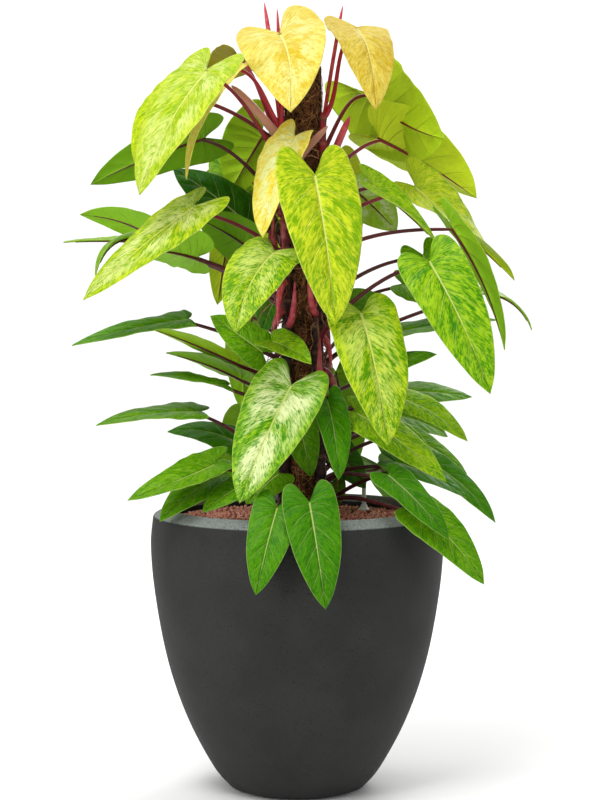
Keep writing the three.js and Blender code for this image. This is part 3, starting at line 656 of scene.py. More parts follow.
# The stems: four jointed stems wind a little round the pole, brown and ringed with the scars of
# old leaves below, and red and green near their tips.
STEM = {"radius": 0.0075, "tip_radius": 0.0045, "bottom": 0.290, "rings_apart": 0.0035}
WINDING = {"from": 0.400, "length": 0.150}
RIPENING = {"below": 0.90, "over": 0.25}
STEM_SCARS = {"apart": 0.036, "swell": 0.16}
STEMS = {
    "front_left": {"angle": -52, "sway": 14, "top": 0.930},
    "front_right": {"angle": 48, "sway": -12, "top": 0.945},
    "back_right": {"angle": 132, "sway": 14, "top": 0.900},
    "back_left": {"angle": -132, "sway": -12, "top": 0.915},
}
STEM_REACH = POLE["radius"] + STEM["radius"] + 0.0007


def stem_point(stem, height):
    """The middle of a stem at a height."""
    wound = max(0, height - WINDING["from"]) / WINDING["length"]
    turned_by = math.radians(stem["angle"] + stem["sway"] * math.sin(wound))
    return np.array([
        POLE["x"] + STEM_REACH * math.sin(turned_by), -STEM_REACH * math.cos(turned_by), height
    ])


def path_mesh(paths):
    """A mesh of open paths. Each is a list of points, of radii and of the ages along it."""
    mesh = bpy.data.meshes.new("paths")
    spots, edges, radii, ages = [], [], [], []
    for points, path_radii, path_ages in paths:
        first = len(spots)
        spots += [tuple(point) for point in points]
        edges += [(k, k + 1) for k in range(first, len(spots) - 1)]
        radii += list(path_radii)
        ages += list(path_ages)
    mesh.from_pydata(spots, edges, [])
    mesh.attributes.new("radius", "FLOAT", "POINT").data.foreach_set("value", radii)
    mesh.attributes.new("age", "FLOAT", "POINT").data.foreach_set("value", ages)
    return mesh


tube_tree, given = new_tree(
    "round_shoots", Sides="Int", Ring_spacing="Float", Ring_swell="Float", Finish="Material"
)
paths = made(tube_tree, "GeometryNodeMeshToCurve", {0: given["Mesh"]})
way = add_node(tube_tree, "GeometryNodeSplineParameter").outputs["Length"]
turns = maths(
    tube_tree, "DIVIDE", maths(tube_tree, "MULTIPLY", way, math.pi), given["Ring spacing"]
)
beat = maths(tube_tree, "ABSOLUTE", maths(tube_tree, "COSINE", turns))
ring = maths(tube_tree, "POWER", beat, 24.0)
ringed = made(
    tube_tree, "GeometryNodeStoreNamedAttribute", {0: paths, "Name": "ring", "Value": ring},
    data_type="FLOAT", domain="POINT",
)
radius = made(tube_tree, "GeometryNodeInputNamedAttribute", {"Name": "radius"}, data_type="FLOAT")
swelling = maths(tube_tree, "MULTIPLY_ADD", ring, given["Ring swell"], 1.0)
outline = made(
    tube_tree, "GeometryNodeCurvePrimitiveCircle", {"Resolution": given["Sides"], "Radius": 1.0}
)
skinned = made(
    tube_tree, "GeometryNodeCurveToMesh",
    {"Curve": ringed, "Profile Curve": outline, "Fill Caps": True,
     "Scale": maths(tube_tree, "MULTIPLY", radius, swelling)},
)
end_tree(tube_tree, made(tube_tree, "GeometryNodeSetShadeSmooth", {0: skinned}), given["Finish"])


def round_shoots(name, paths, sides, finish, ring_spacing=1.0, ring_swell=0.0):
    """An object of round shoots along the paths, with rings where they swell."""
    return grown(
        name, tube_tree, path_mesh(paths),
        Sides=sides, Ring_spacing=ring_spacing, Ring_swell=ring_swell, Finish=finish,
    )


bark, tree, shader = new_finish("stem_bark", 0.6, 0.2)
young = mixed(tree, blotches(tree, 60, 3, 0.4, 0.6), (140, 34, 46), (96, 50, 44))
old = mixed(tree, blotches(tree, 130, 4, 0.38, 0.62), (26, 14, 15), (62, 38, 34))
colour = mixed(tree, attribute(tree, "age"), young, old)
scar = spread(tree, attribute(tree, "ring"), 0.3, 0.9)
coloured(shader, mixed(tree, scar, colour, (150, 112, 84), 0.3))
relief(tree, shader, noise(tree, object_place(tree), 320, 4), 0.0012, 0.6)

for name, stem in STEMS.items():
    heights = np.arange(STEM["bottom"], stem["top"], STEM["rings_apart"])
    share = (heights - STEM["bottom"]) / (stem["top"] - STEM["bottom"])
    radii = STEM["radius"] + (STEM["tip_radius"] - STEM["radius"]) * np.clip(2 * share - 1, 0, 1)
    ages = np.clip((RIPENING["below"] - heights) / RIPENING["over"], 0, 1)
    path = ([stem_point(stem, height) for height in heights], radii, ages)
    piece = round_shoots(f"stem_{name}", [path], 14, bark, STEM_SCARS["apart"], STEM_SCARS["swell"])
    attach(piece, "root")
    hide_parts(f"leafy_stem_{name}")


# The leaves: thick arrow-shaped blades, yellow when they open and green as they age, with streaks
# along the veins. Each one unrolled from a shoot, and hangs from its petiole at the sinus.

# Each row gives the sinus and the tip as the camera sees them (across, up, depth) and the width,
# all in millimetres, where the upper face looks (from the front towards the right, and above
# level), how far the midrib arches and each half is folded up, how far below the blade the petiole
# starts, the tone, from yellow to dark, and the mottling. Some rows add how far the midrib bows
# sideways, the tip's twist, how long the rear lobes are, how much longer one of them is than the
# mean of the two, or how much creamy pale colour there is on the blade, which is partly its own
# pale patches and partly a painted sheen.
LEAF_ROWS = {
    "front_left": [
        ((-28, 512, -40), (-13, 403, -165), 120, (-20, 38), 0.08, 9, 1.5, 0.06, 0.6,
         {"bow": -0.06, "lobes": 2.4, "skew": -0.2, "cream": 0.4}),
        ((-83, 468, -44), (-159, 309, -72), 60, (-68, 15), 0.12, 2, 1.2, 0, 0.2, {"lobes": 0.3}),
        ((-130, 461, -112), (-225, 287, -150), 116, (-42, 20), 0.07, 8, 0.9, 0.36, 0.6, {"cream": 0.45}),
        ((-6, 368, -80), (-52, 227, -118), 92, (-50, 20), 0.06, 14, 0.4, 0, 0.5,
         {"lobes": 0.6, "skew": 0.45, "cream": 0.9}),
        ((-149, 270, -100), (-304, 140, -140), 88, (-37, 36), 0.03, 1, 0.5, 0.48, 0.5,
         {"skew": -0.1, "cream": 0.5}),
        ((-144, 199, -60), (-241, 213, -66), 84, (175, 48), 0.05, 20, 0.5, 0.62, 0.4),
        ((-36, 207, -115), (-90, 94, -215), 88, (-6, 38), 0.06, 10, 0.3, 0.54, 1,
         {"bow": 0.05, "lobes": 0.7, "cream": 0.3}),
        ((-199, 220, -20), (-287, 174, -50), 66, (-80, 60), 0.28, 14, 0.5, 0.62, 0.4),
        ((-156, 113, -50), (-320, 76, -80), 72, (0, 74), 0.04, 8, 0.5, 0.76, 0.4,
         {"bow": -0.04, "lobes": 0.05, "skew": 0.3}),
        ((-53, 67, -60), (-126, 118, -70), 56, (-20, 35), 0.04, 10, 0.5, 0.72, 0.4),
        ((-39, 82, -85), (16, 50, -140), 48, (-30, 60), 0.07, 20, 0.2, 0.6, 0.6),
        ((-12, 20, -130), (-85, -145, -190), 102, (-10, 25), 0.06, 8, 0.3, 0.62, 0.8, {"cream": 0.9}),
        ((-104, 20, -20), (-210, 35, -60), 60, (0, 77), 0.04, 8, 0.5, 0.74, 0.4,
         {"bow": -0.03, "lobes": 0.3, "skew": 0.3}),
        ((-53, 0, -48), (-67, -60, -58), 56, (-20, 15), 0.05, 8, 0.3, 0.55, 0.5),
        ((-140, -17, -30), (-286, -36, -70), 72, (0, 76), 0.05, 8, 0.7, 0.72, 0.4,
         {"bow": -0.02, "lobes": 0.4, "skew": 0.3}),
        ((-120, -91, -95), (-242, -141, -155), 64, (-10, 60), 0.05, 16, 0.35, 0.72, 0.4,
         {"bow": -0.08, "lobes": 1.1, "skew": 0.6}),
        ((-104, -104, -60), (-197, -171, -125), 66, (-20, 42), 0.08, 12, 0.12, 0.74, 0.4),
        ((-72, -116, -90), (-137, -158, -130), 48, (-10, 48), 0.06, 8, 0.1, 0.74, 0.4),
        ((-30, -104, -96), (-76, -146, -120), 50, (-10, 30), 0.06, 8, 0.2, 0.72, 0.4),
        ((-32, -151, -195), (-62, -274, -242), 63, (-5, 20), 0.07, 8, 0.15, 0.79, 0.3),
    ],
    "front_right": [
        ((80, 521, -20), (106, 406, -100), 82, (14, 45), 0.16, 4, 1.7, 0.12, 0.6,
         {"lobes": 1.3, "skew": 0.9}),
        ((20, 316, -140), (49, 104, -180), 112, (18, 15), 0.05, 10, 0.3, 0.42, 0.9),
        ((101, 302, -62), (192, 220, -84), 42, (32, 25), 0.04, 26, 0.5, 0.58, 0.4,
         {"twist": 40, "skew": -0.4}),
        ((161, 298, 14), (301, 168, 8), 92, (34, 31), 0.06, 20, 0.5, 0.38, 0.6,
         {"bow": 0.05, "twist": 60, "lobes": 0.8, "skew": -0.3}),
        ((211, 245, -66), (287, 70, -94), 60, (108, 10), 0.06, 18, 0.3, 0.6, 0.4),
        ((181, 195, -122), (267, 8, -162), 88, (2, 5), 0.05, 14, 0.6, 0.62, 0.8,
         {"bow": -0.02, "lobes": 0.65}),
        ((172, 203, 5), (217, 98, -15), 66, (20, 20), 0.06, 8, 0.5, 0.7, 0.4),
        ((85, 122, -135), (123, -64, -195), 104, (20, 25), 0.06, 8, 0.35, 0.54, 0.9,
         {"lobes": 0.75, "cream": 0.2}),
        ((105, 39, 20), (192, 64, 0), 50, (0, 56), 0.05, 6, 0.5, 0.75, 0.4),
        ((80, -19, -84), (205, -115, -138), 68, (10, 52), 0.05, 6, 0.3, 0.6, 0.6),
        ((38, 0, -112), (54, -113, -150), 56, (35, 20), 0.05, 12, 0.3, 0.8, 0.4),
        ((140, 3, 0), (235, -58, -30), 52, (10, 52), 0.09, 6, 0.5, 0.6, 0.6),
        ((122, -36, -34), (196, -100, -46), 46, (10, 55), 0.08, 8, 0.5, 0.62, 0.5),
        ((-2, -28, -56), (16, -108, -72), 50, (-5, 15), 0.05, 8, 0.2, 0.75, 0.4),
        ((133, -87, -60), (234, -137, -60), 50, (20, 58), 0.06, 8, 0.3, 0.85, 0.3),
        ((123, -105, -164), (209, -196, -214), 54, (15, 50), 0.05, 8, 0.2, 0.85, 0.3, {"lobes": 0.6}),
        ((161, -152, -165), (258, -259, -190), 66, (10, 42), 0.1, 6, 0.1, 0.74, 0.4, {"lobes": 0.55}),
        ((13, -143, -205), (36, -294, -255), 73, (5, 20), 0.05, 8, 0.2, 0.84, 0.3),
    ],
    "back_right": [
        ((93, 430, 95), (202, 367, -5), 144, (136, 12), 0.02, 8, 0.9, 0.47, 0.4,
         {"bow": -0.08, "lobes": 1.8, "skew": -0.45}),
        ((109, 367, 60), (248, 283, 75), 108, (153, 37), 0.04, 30, 0.8, 0.36, 0.4),
        ((78, 294, 60), (136, 237, 90), 74, (170, 15), 0.06, 8, 0.5, 0.56, 0.4, {"cream": 0.9}),
        ((250, 152, 20), (325, 98, 40), 40, (40, 76), 0.16, 12, 0.5, 0.6, 0.4),
        ((143, 162, 62), (210, 126, 78), 58, (30, 40), 0.06, 10, 0.5, 0.7, 0.4),
        ((58, 126, 24), (106, 150, 40), 50, (20, 40), 0.06, 10, 0.3, 0.75, 0.4),
        ((119, 91, 20), (280, 112, 45), 58, (0, 72), 0.03, 10, 0.5, 0.75, 0.4),
        ((137, 12, 40), (241, 4, 55), 56, (0, 58), 0.03, 3, 0.5, 0.72, 0.4),
        ((133, -21, 85), (207, -52, 110), 54, (10, 50), 0.08, 12, 0.5, 0.72, 0.4),
        ((140, -45, 45), (234, -104, 65), 48, (20, 52), 0.06, 8, 0.5, 0.72, 0.4),
        ((182, -87, -15), (274, -172, -20), 50, (25, 48), 0.08, 8, 0.5, 0.8, 0.3),
        ((44, -62, 66), (92, -124, 78), 54, (10, 25), 0.05, 8, 0.2, 0.9, 0.3),
        ((44, -116, 98), (54, -148, 120), 40, (10, 10), 0.05, 8, 0.2, 0.7, 0.4),
        ((46, 326, 140), (56, 150, 205), 84, (165, 25), 0.1, 10, 0.5, 0.3, 0.6),
        ((90, 110, 140), (112, -50, 200), 84, (150, 30), 0.1, 10, 0.5, 0.55, 0.8),
        ((50, 40, 170), (70, -110, 215), 84, (170, 25), 0.1, 10, 0.4, 0.7, 0.6),
        ((100, 10, 150), (132, -110, 196), 76, (150, 35), 0.12, 10, 0.5, 0.75, 0.5),
        ((110, -92, 180), (160, -200, 240), 76, (150, 45), 0.1, 10, 0.15, 0.85, 0.4),
    ],
    "back_left": [
        ((-87, 480, 48), (-128, 440, 110), 64, (170, 45), 0.1, 8, 1.2, 0.2, 0.4),
        ((-171, 431, -30), (-232, 333, -50), 78, (-25, 35), 0.08, 8, 0.5, 0.44, 0.5),
        ((-133, 367, 24), (-294, 302, 20), 80, (180, 38), 0.05, 10, 0.9, 0.74, 0.4),
        ((-52, 370, 72), (-98, 292, 92), 104, (180, 20), 0.06, 8, 0.9, 0.54, 0.5, {"lobes": 2.4}),
        ((-72, 290, 96), (-127, 339, 118), 70, (0, 30), 0.05, 8, 0.5, 0.65, 0.4),
        ((-74, 262, 140), (-123, 302, 164), 64, (0, 25), 0.05, 8, 0.5, 0.5, 0.5),
        ((-66, 240, 46), (-178, 323, 80), 84, (0, 40), 0.06, 8, 0.3, 0.98, 0.4),
        ((-74, 216, -14), (-145, 256, -4), 72, (180, 30), 0.05, 8, 0.2, 0.74, 0.4),
        ((-189, 216, 26), (-309, 260, 42), 66, (180, 46), 0.12, 10, 0.5, 0.65, 0.4),
        ((-210, 222, 98), (-332, 221, 76), 70, (0, 86), 0.02, 10, 0.5, 0.6, 0.4),
        ((-101, 227, 70), (-116, 133, 85), 48, (180, 10), 0.05, 8, 0.5, 0.4, 0.5),
        ((-35, 140, 70), (-53, 98, 90), 52, (-20, 20), 0.05, 8, 0.3, 0.8, 0.3),
        ((-84, 50, 0), (-221, 105, -20), 48, (180, 68), 0.02, 12, 0.5, 0.55, 0.5),
        ((-80, 28, 15), (-188, 66, 20), 66, (180, 70), 0.04, 12, 0.5, 0.7, 0.4),
        ((-80, -64, 30), (-186, -45, 60), 60, (0, 58), 0.12, 4, 0.5, 0.85, 0.3),
        ((-28, 312, 180), (-52, 130, 228), 92, (-165, 25), 0.1, 10, 0.5, 0.35, 0.6),
        ((-66, 120, 150), (-78, -20, 205), 70, (-155, 30), 0.1, 10, 0.5, 0.6, 0.8),
        ((-70, -30, 170), (-90, -170, 225), 82, (-165, 25), 0.1, 10, 0.3, 0.7, 0.6),
        ((-95, 320, 150), (-125, 215, 205), 76, (-150, 35), 0.12, 10, 0.5, 0.45, 0.8),
        ((-16, -100, 190), (-24, -225, 250), 72, (-175, 40), 0.1, 10, 0.15, 0.85, 0.4),
    ],
}
Leaf = namedtuple(
    "Leaf", "sinus tip width faces arch fold drop tone mottle bow twist lobes skew cream",
    defaults=(0, 0, 1, 0, 0),
)
HALF_OUTLINE = [
    (0.00, 0.03, 0.00), (-0.14, 0.15, 0.00), (-0.20, 0.30, 0.00), (-0.12, 0.45, 0.02),
    (0.12, 0.50, 0.12), (0.52, 0.41, 0.40), (0.84, 0.20, 0.73), (1.00, 0.00, 1.00),
]
BLADE = {"thickness": 0.0008, "rows": 66, "droop": 0.045}
WAVES = {"high": 0.025, "rate": 9, "ripple_high": 0.012, "ripple_rate": 31}
VEINS = {"number": 11, "lean": 0.25, "quilting": 0.0024, "at_width": 0.1, "groove": 0.0005}
BLADE_COLUMNS = np.array([0.035, 0.1, 0.2, 0.33, 0.47, 0.61, 0.75, 0.88, 0.96, 1.0])


def seen(across, up, depth):
    """A point in space from where it is seen, in the upright plane through the planter's axis that
    faces the camera, and from its depth behind that plane."""
    ray = AIM + Vector((across, 0, 0)) + VIEW_UP * up - EYE
    return np.array(EYE + ray * ((depth - EYE.y) / ray.y))


def unit(vector):
    """The same direction, at a length of 1."""
    return vector / np.linalg.norm(vector, axis=-1, keepdims=True)


def leaf_of(row):
    """The leaf of a row, with its lengths in metres."""
    sinus, tip, width, *looks = row
    more = looks.pop() if isinstance(looks[-1], dict) else {}
    ends = [[value / 1000 for value in end] for end in (sinus, tip)]
    return Leaf(*ends, width / 1000, *looks, **more)


LEAVES = {name: [leaf_of(row) for row in rows] for name, rows in LEAF_ROWS.items()}


def leaf_frame(leaf):
    """The midrib's start, crown and end, its length, and the direction across the blade."""
    start, end = seen(*leaf.sinus), seen(*leaf.tip)
    chord = end - start
    length = np.linalg.norm(chord)
    chord = chord / length
    turn, lift = (math.radians(angle) for angle in leaf.faces)
    normal = np.array([
        math.sin(turn) * math.cos(lift), -math.cos(turn) * math.cos(lift), math.sin(lift)
    ])
    normal = unit(normal - chord * normal.dot(chord))
    across = np.cross(chord, normal)
    crown = (start + end) / 2 + 2 * length * (leaf.arch * normal + leaf.bow * across)
    return start, crown, end, length, across


def midrib_at(leaf, leaf_shape, along, side=0):
    """A midrib's points at places along it, with the directions along it, across and upward. Behind
    the sinus they reach as far back as the lobe on that side."""
    start, crown, end, length, across = leaf_shape
    along = np.asarray(along, float)[..., None]
    inside = np.clip(along, 0, 1)
    heading = unit((1 - inside) * (crown - start) + inside * (end - crown))
    t = np.maximum(along, 0)
    centre = (1 - t) ** 2 * start + 2 * t * (1 - t) * crown + t**2 * end
    rear = leaf.lobes + np.asarray(side)[..., None] * leaf.skew
    centre = centre + heading * np.minimum(along, 0) * length * rear
    level = unit(across - heading * (heading @ across)[..., None])
    turn = np.radians(leaf.twist) * inside
    sideways = level * np.cos(turn) + np.cross(level, heading) * np.sin(turn)
    return centre, heading, sideways, np.cross(sideways, heading)


def blade_surface(leaf, leaf_shape, along, aside):
    """Points of a blade's middle surface, from their places along and across it."""
    centre, _, sideways, normal = midrib_at(leaf, leaf_shape, along, np.sign(aside))
    start = leaf_shape[0]
    reach = 2 * np.abs(aside)
    phase = 1000 * (start[0] + start[2])
    on_left = np.where(aside > 0, 0, 1)
    wave = np.sin(WAVES["rate"] * along + phase + 2 * on_left)
    ripple = np.sin(WAVES["ripple_rate"] * along + 2 * phase + on_left)
    folded = np.abs(aside) * math.tan(math.radians(leaf.fold))
    raised = folded - BLADE["droop"] * reach**2
    raised = raised + WAVES["high"] * reach**2 * wave + WAVES["ripple_high"] * reach**4 * ripple
    aside, raised = (aside * leaf.width)[..., None], (raised * leaf.width)[..., None]
    return centre + sideways * aside + normal * raised


def blade_normals(leaf, leaf_shape, along, aside):
    """The directions straight out of a blade's upper face."""
    steps = 0.01, -0.01
    ahead, behind = (blade_surface(leaf, leaf_shape, along + step, aside) for step in steps)
    right, left = (blade_surface(leaf, leaf_shape, along, aside + step) for step in steps)
    return unit(np.cross(right - left, ahead - behind))


def blade_grid(leaf):
    """The upper and lower points of a blade, row by row from the notch to the tip and column by
    column from the left margin to the right one, and each point's share of the way out."""
    rows = smooth_through(HALF_OUTLINE, BLADE["rows"] // (len(HALF_OUTLINE) - 1) + 1)
    shares = np.concatenate([-BLADE_COLUMNS[::-1], [0], BLADE_COLUMNS])
    margin_along, margin_aside, vein = rows[:, 0:1], np.maximum(rows[:, 1:2], 0), rows[:, 2:3]
    out = np.abs(shares)[None, :]
    along = vein + (margin_along - vein) * out**1.2
    aside = margin_aside * shares[None, :]
    leaf_shape = leaf_frame(leaf)
    middle = blade_surface(leaf, leaf_shape, along, aside)
    normal = blade_normals(leaf, leaf_shape, along, aside)
    row_number = np.linspace(0, 1, len(rows))[:, None]
    leaning = row_number - VEINS["lean"] * out * (1 - row_number)
    between_veins = np.abs(np.sin(math.pi * VEINS["number"] * leaning)) ** 0.7
    swell = VEINS["quilting"] * between_veins * np.clip(out * 5, 0, 1) * (1 - out**3)
    swell = swell * leaf.width / VEINS["at_width"]
    groove = VEINS["groove"] * np.clip(1 - out * 12, 0, 1)
    middle = middle + normal * (swell - groove)[..., None]
    half = 0.5 * BLADE["thickness"] * normal
    return middle + half, middle - half, row_number + 0 * out, shares[None, :] + 0 * row_number


def blade_mesh(name, leaves, upper, under):
    """One mesh of all the blades of a stem. Each point carries its blade's tone, mottling, share of
    creamy patches and painted sheen, and draw of the pattern, and the map runs across the blade and from
    its notch to its tip."""
    spots, faces, face_slots, maps = [], [], [], []
    looks = {"tone": [], "mottle": [], "cream": [], "draw": []}
    for number, leaf in enumerate(leaves):
        top, bottom, row_number, share = blade_grid(leaf)
        height, width = share.shape
        first = len(spots)
        spots += [tuple(p) for p in top.reshape(-1, 3)] + [tuple(p) for p in bottom.reshape(-1, 3)]
        maps += 2 * list(zip((0.5 + 0.5 * share).ravel(), row_number.ravel()))
        count = height * width
        values = (leaf.tone, leaf.mottle, leaf.cream, number * 0.37 + leaf.sinus[0] * 9)
        for look, value in zip(looks, values):
            looks[look] += [value] * (2 * count)

        def at(row, column):
            return first + row * width + column

        for row in range(height - 1):
            for column in range(width - 1):
                a, d = at(row, column), at(row + 1, column)
                faces += [(a, a + 1, d + 1, d), (d + count, d + 1 + count, a + 1 + count, a + count)]
                face_slots += [0, 1]
        rim = [at(row, 0) for row in range(height)]
        rim += [at(row, width - 1) for row in range(height - 1, -1, -1)]
        rim += [at(0, column) for column in range(width - 2, 0, -1)]
        for a, b in zip(rim, rim[1:] + rim[:1]):
            faces.append((a, a + count, b + count, b))
            face_slots.append(0)
    mesh = bpy.data.meshes.new(name)
    mesh.from_pydata(spots, [], faces)
    mesh.materials.append(upper)
    mesh.materials.append(under)
    mesh.polygons.foreach_set("material_index", face_slots)
    for look, values in looks.items():
        mesh.attributes.new(look, "FLOAT", "POINT").data.foreach_set("value", values)
    corners = np.zeros(len(mesh.loops), int)
    mesh.loops.foreach_get("vertex_index", corners)
    mesh.uv_layers.new(name="blade").data.foreach_set("uv", np.array(maps)[corners].ravel())
    shell = bmesh.new()
    shell.from_mesh(mesh)
    bmesh.ops.remove_doubles(shell, verts=shell.verts, dist=1e-6)
    bmesh.ops.dissolve_degenerate(shell, edges=shell.edges, dist=1e-7)
    bmesh.ops.recalc_face_normals(shell, faces=shell.faces)
    shell.to_mesh(mesh)
    shell.free()
    mesh.shade_smooth()
    return mesh


def ramp(tree, value, stops):
    """A colour that runs through the stops, each a value and a colour as the eye sees it."""
    node = add_node(tree, "ShaderNodeValToRGB", {"Fac": value})
    elements = node.color_ramp.elements
    while len(elements) < len(stops):
        elements.new(1)
    for element, (position, colour) in zip(elements, stops):
        element.position, element.color = position, paint(*colour)
    return node.outputs["Color"]


def leaf_pattern(tree):
    """The parts of a blade's pattern: the way out from the midrib, the way from its notch to its
    tip, the midrib itself, the side veins, and the streaks and the creamy patches between them, which
    are partly pale patches and partly painted sheen, 0 to 1."""
    across = add_node(tree, "ShaderNodeUVMap", uv_map="blade").outputs["UV"]
    parts = add_node(tree, "ShaderNodeSeparateXYZ", {0: across})
    side, way = maths(tree, "MULTIPLY_ADD", parts.outputs["X"], 2.0, -1.0), parts.outputs["Y"]
    out = maths(tree, "ABSOLUTE", side)
    draw = attribute(tree, "draw")
    lean = maths(tree, "MULTIPLY", out, maths(tree, "SUBTRACT", 1.0, way))
    leaning = maths(tree, "MULTIPLY_ADD", lean, -VEINS["lean"], way)
    beat = maths(tree, "SINE", maths(tree, "MULTIPLY", leaning, math.pi * VEINS["number"]))
    beat = maths(tree, "ABSOLUTE", beat)
    veins = maths(tree, "MULTIPLY", spread(tree, beat, 0.14, 0.02), spread(tree, out, 1.0, 0.4))
    midrib = spread(tree, maths(tree, "MULTIPLY", out, maths(tree, "ADD", way, 0.35)), 0.042, 0.018)
    layers = []
    for across_scale, way_scale, detail in ((1.3, 8.0, 2), (5.0, 44.0, 3), (8.0, 140.0, 3)):
        sockets = {"X": maths(tree, "MULTIPLY", side, across_scale),
                   "Y": maths(tree, "MULTIPLY", leaning, way_scale), "Z": draw}
        layers.append(noise(tree, made(tree, "ShaderNodeCombineXYZ", sockets), 1.0, detail, 0.7))
    streaks = maths(tree, "MULTIPLY_ADD", layers[2], 0.45, maths(tree, "MULTIPLY", layers[1], 0.35))
    streaks = maths(tree, "MULTIPLY_ADD", layers[0], 0.2, streaks)
    patches = maths(tree, "MULTIPLY", spread(tree, layers[0], 0.34, 0.62), spread(tree, out, 1.0, 0.5))
    broken = maths(tree, "MULTIPLY", patches, spread(tree, streaks, 0.4, 0.56))
    cream = maths(tree, "MULTIPLY", attribute(tree, "cream"), broken)
    return out, way, midrib, veins, streaks, cream


upper_leaf, tree, shader = new_finish("leaf_upper_face", 0.42, 0.1)
out, way, midrib, veins, streaks, cream = leaf_pattern(tree)
tone, mottle = attribute(tree, "tone"), attribute(tree, "mottle")
light = ramp(tree, tone, [
    (0.0, (238, 228, 118)), (0.08, (216, 206, 98)), (0.15, (206, 186, 84)),
    (0.33, (196, 208, 60)), (0.48, (196, 208, 8)), (0.62, (150, 188, 26)),
    (0.8, (80, 142, 2)), (1.0, (44, 98, 2)),
])
dark = ramp(tree, tone, [
    (0.0, (216, 190, 14)), (0.08, (192, 160, 8)), (0.15, (182, 148, 30)),
    (0.33, (136, 172, 4)), (0.48, (90, 146, 0)), (0.62, (54, 124, 0)),
    (0.8, (36, 100, 0)), (1.0, (18, 66, 2)),
])
half_width = maths(tree, "MULTIPLY_ADD", mottle, -0.1, 0.19)
low, high = maths(tree, "SUBTRACT", 0.5, half_width), maths(tree, "ADD", 0.5, half_width)
colour = mixed(tree, spread(tree, streaks, low, high), dark, light)
# Creamy patches, by the cream share: partly the leaf's own pale patches, partly a painted sheen that
# stands in for highlights.
colour = mixed(tree, cream, colour, (218, 226, 168))
pale = mixed(tree, 0.5, light, (224, 222, 150))
for share, most in ((veins, 0.3), (midrib, 0.85), (spread(tree, out, 0.965, 0.99), 0.4)):
    colour = mixed(tree, share, colour, pale, most)
at_sinus = maths(tree, "MULTIPLY", spread(tree, way, 0.34, 0.26), spread(tree, out, 0.14, 0.02))
coloured(shader, mixed(tree, at_sinus, colour, (190, 92, 84), 0.7))
height = maths(tree, "SUBTRACT", 1.0, maths(tree, "MAXIMUM", veins, midrib))
relief(tree, shader, maths(tree, "MULTIPLY_ADD", streaks, 0.25, height), 0.001, 0.6)

under_leaf_with_painted_glow, tree, shader = new_finish("leaf_under_face", 0.5, 0.14)
out, way, midrib, veins, streaks, cream = leaf_pattern(tree)
# The underside colours are painted lighter than the leaf's own, partly as painted light shining through
# the thin blade.
colour = ramp(tree, attribute(tree, "tone"), [
    (0.0, (236, 216, 104)), (0.12, (220, 194, 84)), (0.2, (150, 132, 26)),
    (0.33, (206, 222, 40)), (0.48, (186, 220, 36)), (0.62, (146, 198, 40)),
    (0.8, (96, 144, 14)), (1.0, (70, 112, 24)),
])
greener = mixed(tree, 0.24, colour, (60, 120, 0))
colour = mixed(tree, spread(tree, streaks, 0.3, 0.7), greener, colour)
# Creamy patches on the underside too: partly pale patches, partly painted sheen.
colour = mixed(tree, cream, colour, (214, 226, 176))
colour = mixed(tree, veins, colour, (96, 122, 24), 0.4)
ribs = maths(tree, "MULTIPLY", spread(tree, out, 0.75, 0.2), spread(tree, way, 0.75, 0.3))
ribs = maths(tree, "MULTIPLY", spread(tree, veins, 0.0, 0.5), ribs)
colour = mixed(tree, ribs, colour, (104, 36, 34))
coloured(shader, mixed(tree, midrib, colour, (112, 34, 40)))
relief(tree, shader, maths(tree, "MAXIMUM", veins, midrib), 0.0008, 0.5)

for name, leaves in LEAVES.items():
    piece = placed(f"blades_{name}", blade_mesh(f"blades_{name}", leaves, upper_leaf, under_leaf_with_painted_glow))
    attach(piece, "root")
    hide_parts(f"leafy_stem_{name}")


# The petioles: smooth round stalks, crimson when young and maroon later, that clasp the stem, arch
# outwards and run on under the blade as its midrib.
PETIOLE = {"clasp": 0.0046, "base": 0.0034, "end": 0.0023, "keel": 0.0018, "keel_end": 0.0005}
PETIOLE_LOWEST = BED_LEVEL + 0.012
BEZIER_STEPS = 18


def bezier(a, b, c, d, t):
    """Points of a cubic curve."""
    t = np.asarray(t)[:, None]
    return (1 - t) ** 3 * a + 3 * t * (1 - t) ** 2 * b + 3 * t**2 * (1 - t) * c + t**3 * d


def petiole_path(stem, leaf):
    """A petiole's points, radii and ages, from inside its stem to near the blade's tip."""
    leaf_shape = leaf_frame(leaf)
    sinus, heading, _, normal = (value[0] for value in midrib_at(leaf, leaf_shape, [0.0]))
    nearest = stem_point(stem, min(sinus[2], stem["top"]))
    reach = math.hypot(*(sinus - nearest)[:2])
    height = min(max(sinus[2] - leaf.drop * reach, PETIOLE_LOWEST), stem["top"] - 0.008)
    base = stem_point(stem, height)
    away = sinus - base
    away[2] = 0
    away = unit(away)
    keel_along = np.linspace(0.03, 0.86, 12)
    keel, _, _, keel_normal = midrib_at(leaf, leaf_shape, keel_along)
    keel_radii = np.linspace(PETIOLE["keel"], PETIOLE["keel_end"], len(keel_along))
    keel = keel - keel_normal * (BLADE["thickness"] + 0.8 * keel_radii)[:, None]
    end = keel[0]
    span = np.linalg.norm(end - base)
    leaving = unit(away + np.array([0, 0, 1.1]))
    arriving = unit(away + 0.45 * normal + 0.35 * heading)
    t = np.linspace(0, 1, BEZIER_STEPS)
    stalk = bezier(base, base + leaving * 0.32 * span, end - arriving * 0.32 * span, end, t)
    radii = PETIOLE["base"] + (PETIOLE["end"] - PETIOLE["base"]) * t
    radii = radii + (PETIOLE["clasp"] - PETIOLE["base"]) * np.clip(1 - 5 * t, 0, 1)
    age = min(1, leaf.tone * 1.1)
    ages = [age] * (len(t) + len(keel_along) - 1)
    return np.vstack([stalk[:-1], keel]), [*radii[:-1], *keel_radii], ages


